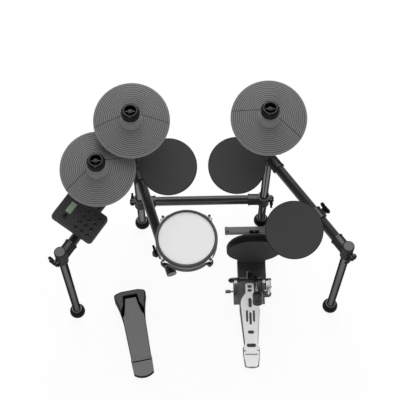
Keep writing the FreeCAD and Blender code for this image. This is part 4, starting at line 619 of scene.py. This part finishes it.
springSetup = {"wire": 0.0012, "turns": 15, "pointsPerTurn": 24, "sides": 10}
strapSetup = {"columns": 28, "rows": 30, "corner": 6.0, "clear": 0.0002, "thin": 0.0008}
strapWeb = {"color": (0.008, 0.008, 0.008), "roughness": (0.6, 0.75), "spread": 0.3, "grain": 1800.0,
            "depth": 0.4, "threads": 900.0, "weaveDepth": 0.3, "weaveShade": 0.2, "Specular IOR Level": 0.2}


# spring: a round wire on a helix, x = R cos 2 pi n t, y = R sin 2 pi n t, z = z0 + t height
def coilSpring(setup):
    low, high = (np.array(corner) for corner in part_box("pedal_spring"))
    wire, turns = setup["wire"], setup["turns"]
    middle, radius = (low + high) / 2, (high[0] - low[0]) / 2 - wire
    share = np.linspace(0, 1, turns * setup["pointsPerTurn"] + 1)
    turn = 2 * math.pi * turns * share
    away = np.stack([np.cos(turn), np.sin(turn), turn * 0], 1)
    rise = (high[2] - low[2] - 2 * wire) * share
    path = radius * away + np.stack([share * 0 + middle[0], share * 0 + middle[1], low[2] + wire + rise], 1)
    tangent = np.gradient(path, axis=0)
    tangent /= np.linalg.norm(tangent, axis=1)[:, None]
    lift = np.cross(tangent, away)
    side = np.linspace(0, 2 * math.pi, setup["sides"], endpoint=False)
    wound = np.cos(side)[None, :, None] * away[:, None] + np.sin(side)[None, :, None] * lift[:, None]
    tube = path[:, None] + wire * wound
    ends = [np.repeat(path[at, None], setup["sides"], 0)[None] for at in (0, -1)]
    return gridMesh("coil_spring", [np.concatenate([ends[0], tube, ends[1]])]), low, high


# strap: a flat band of superellipse section, |x / a|^n + |y / b|^n = 1, drawn down from the cam to the board; at
# its top it laps outside the layer wound on the cam, y = sqrt(R^2 - drop^2), and so clears it as the cam turns
def driveBand(setup):
    low, high = (np.array(corner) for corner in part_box("drive_strap"))
    axle = joints["beater_swing"]["pos_m"]
    side = np.linspace(0, 2 * math.pi, setup["columns"], endpoint=False)
    power = 2 / setup["corner"]
    across = np.sign(np.cos(side)) * np.abs(np.cos(side)) ** power * (high[0] - low[0]) / 2
    deep = np.sign(np.sin(side)) * np.abs(np.sin(side)) ** power
    heights = np.concatenate([[low[2]], np.linspace(low[2], high[2], setup["rows"]), [high[2]]])
    grow = np.concatenate([[0.0], np.ones(setup["rows"]), [0.0]])[:, None]
    wound = high[1] - axle[1] + setup["clear"]
    inner = np.maximum(low[1], axle[1] + np.sqrt(np.maximum(wound ** 2 - (axle[2] - heights) ** 2, 0)))
    outer = np.maximum(high[1], inner + setup["thin"])
    middle, half = ((inner + outer) / 2)[:, None], ((outer - inner) / 2)[:, None]
    grid = np.stack([(low[0] + high[0]) / 2 + grow * across, middle + grow * half * deep,
                     np.repeat(heights[:, None], len(side), 1)], -1)
    return gridMesh("drive_band", [grid]), low, high


spring, low, high = coilSpring(springSetup)
finishPiece(spring, chrome)
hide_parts("pedal_spring")
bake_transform(spring)
band, low, high = driveBand(strapSetup)
finishPiece(band, makeFinish("strapRubber", strapWeb))
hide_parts("drive_strap")
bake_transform(band)

# hi-hat controller: grey boards in a black frame; the footboard's sides are painted near black as painted shade
hatSetup = {"upward": 0.8, "heelTop": 0.0235, "plateTop": 0.0655}
hatBoard = {"color": (0.175, 0.175, 0.175), "roughness": (0.5, 0.62), "spread": 0.12, "grain": 1200.0,
            "depth": 0.15, "Specular IOR Level": 0.25}
hatToe = {**hatBoard, "color": (0.076, 0.076, 0.076)}
hatGrey, hatDark = makeFinish("hatGrey", hatBoard), makeFinish("hatDark", hatToe)
isSide = facing("hi_hat_footboard") < hatSetup["upward"]
isFrame = faceMiddles("hi_hat_pedal_base")[:, 2] < hatSetup["heelTop"]
isSkirt = faceMiddles("hi_hat_toe_cover")[:, 2] < hatSetup["plateTop"]
# the footboard's faces that don't look up take the near-black side finish: painted shade between board and frame
dressParts("hi_hat_footboard", hatGrey, (isSide, padSide))
dressParts("hi_hat_pedal_base", hatGrey, (isFrame, padSide))
dressParts("hi_hat_toe_cover", hatDark, (isSkirt, padSide))
print("pedals dressed")

# studio: pale floor, a surround that is pale near the horizon and dim overhead, and three broad lamps
studio = {"floorSize": 30.0, "floorDrop": 0.0004, "floorColor": 0.93, "glow": 0.9, "horizon": 0.55,
          "ceiling": 0.12, "ceilingFrom": 0.3, "ceilingTo": 0.85}
lamps = {"overhead": {"place": (0.4, 2.4, 8.0), "aim": (0, 0, 0.5), "size": 8.0, "power": 390.0,
                      "shines": False},
         "back": {"place": (0.0, 6.4, 6.1), "aim": (0, 0, 0.4), "size": 6.4, "power": 308.0, "shines": True},
         "front": {"place": (-1.3, -5.6, 5.1), "aim": (0, 0, 0.5), "size": 3.2, "power": 125.0,
                   "shines": True}}


# what the camera, glossy and clear rays see, against what lights the object
def seenRays(tree):
    path = addNode(tree, "ShaderNodeLightPath")
    seen = math2(tree, "MAXIMUM", path.outputs["Is Camera Ray"], path.outputs["Is Glossy Ray"])
    return math2(tree, "MAXIMUM", seen, path.outputs["Is Transmission Ray"])


# floor: mostly its own pale glow to the rays that see it, with enough lit paint left to keep the object's shadow
def makeFloor():
    half, low = studio["floorSize"] / 2, -studio["floorDrop"]
    corners = np.array([[(-half, -half, low), (half, -half, low)], [(-half, half, low), (half, half, low)]])
    floor = gridMesh("floor", [corners], closed=False, smooth=False)
    material = bpy.data.materials.new("floorPale")
    material.use_nodes = True
    tree = material.node_tree
    tree.nodes.remove(tree.nodes["Principled BSDF"])
    paint = addNode(tree, "ShaderNodeBsdfDiffuse")
    paint.inputs["Color"].default_value = (studio["floorColor"],) * 3 + (1,)
    glow = addNode(tree, "ShaderNodeEmission")
    mix = addNode(tree, "ShaderNodeMixShader")
    tree.links.new(math2(tree, "MULTIPLY", seenRays(tree), studio["glow"]), mix.inputs["Fac"])
    tree.links.new(paint.outputs[0], mix.inputs[1])
    tree.links.new(glow.outputs[0], mix.inputs[2])
    tree.links.new(mix.outputs[0], tree.nodes["Material Output"].inputs["Surface"])
    floor.data.materials.append(material)


def makeSurround():
    world = bpy.data.worlds.new("studio")
    scene.world = world
    world.use_nodes = True
    tree = world.node_tree
    back = tree.nodes["Background"]
    back.inputs["Color"].default_value = (1, 1, 1, 1)
    direction = addNode(tree, "ShaderNodeTexCoord")
    split = addNode(tree, "ShaderNodeSeparateXYZ")
    tree.links.new(direction.outputs["Generated"], split.inputs[0])
    fade = addNode(tree, "ShaderNodeMapRange")
    tree.links.new(split.outputs["Z"], fade.inputs["Value"])
    fillSockets(fade, {"From Min": studio["ceilingFrom"], "From Max": studio["ceilingTo"],
                       "To Min": studio["horizon"], "To Max": studio["ceiling"]})
    tree.links.new(fade.outputs[0], back.inputs["Strength"])


def makeLamps():
    for name, lamp in lamps.items():
        light = bpy.data.objects.new(name, bpy.data.lights.new(name, "AREA"))
        light.data.shape = "DISK"
        light.data.size = lamp["size"]
        light.data.energy = lamp["power"]
        light.visible_glossy = lamp["shines"]
        light.location = lamp["place"]
        aim = Vector(lamp["aim"]) - Vector(lamp["place"])
        light.rotation_euler = aim.to_track_quat("-Z", "Y").to_euler()
        scene.collection.objects.link(light)


makeFloor()
makeSurround()
makeLamps()
print("studio lit")
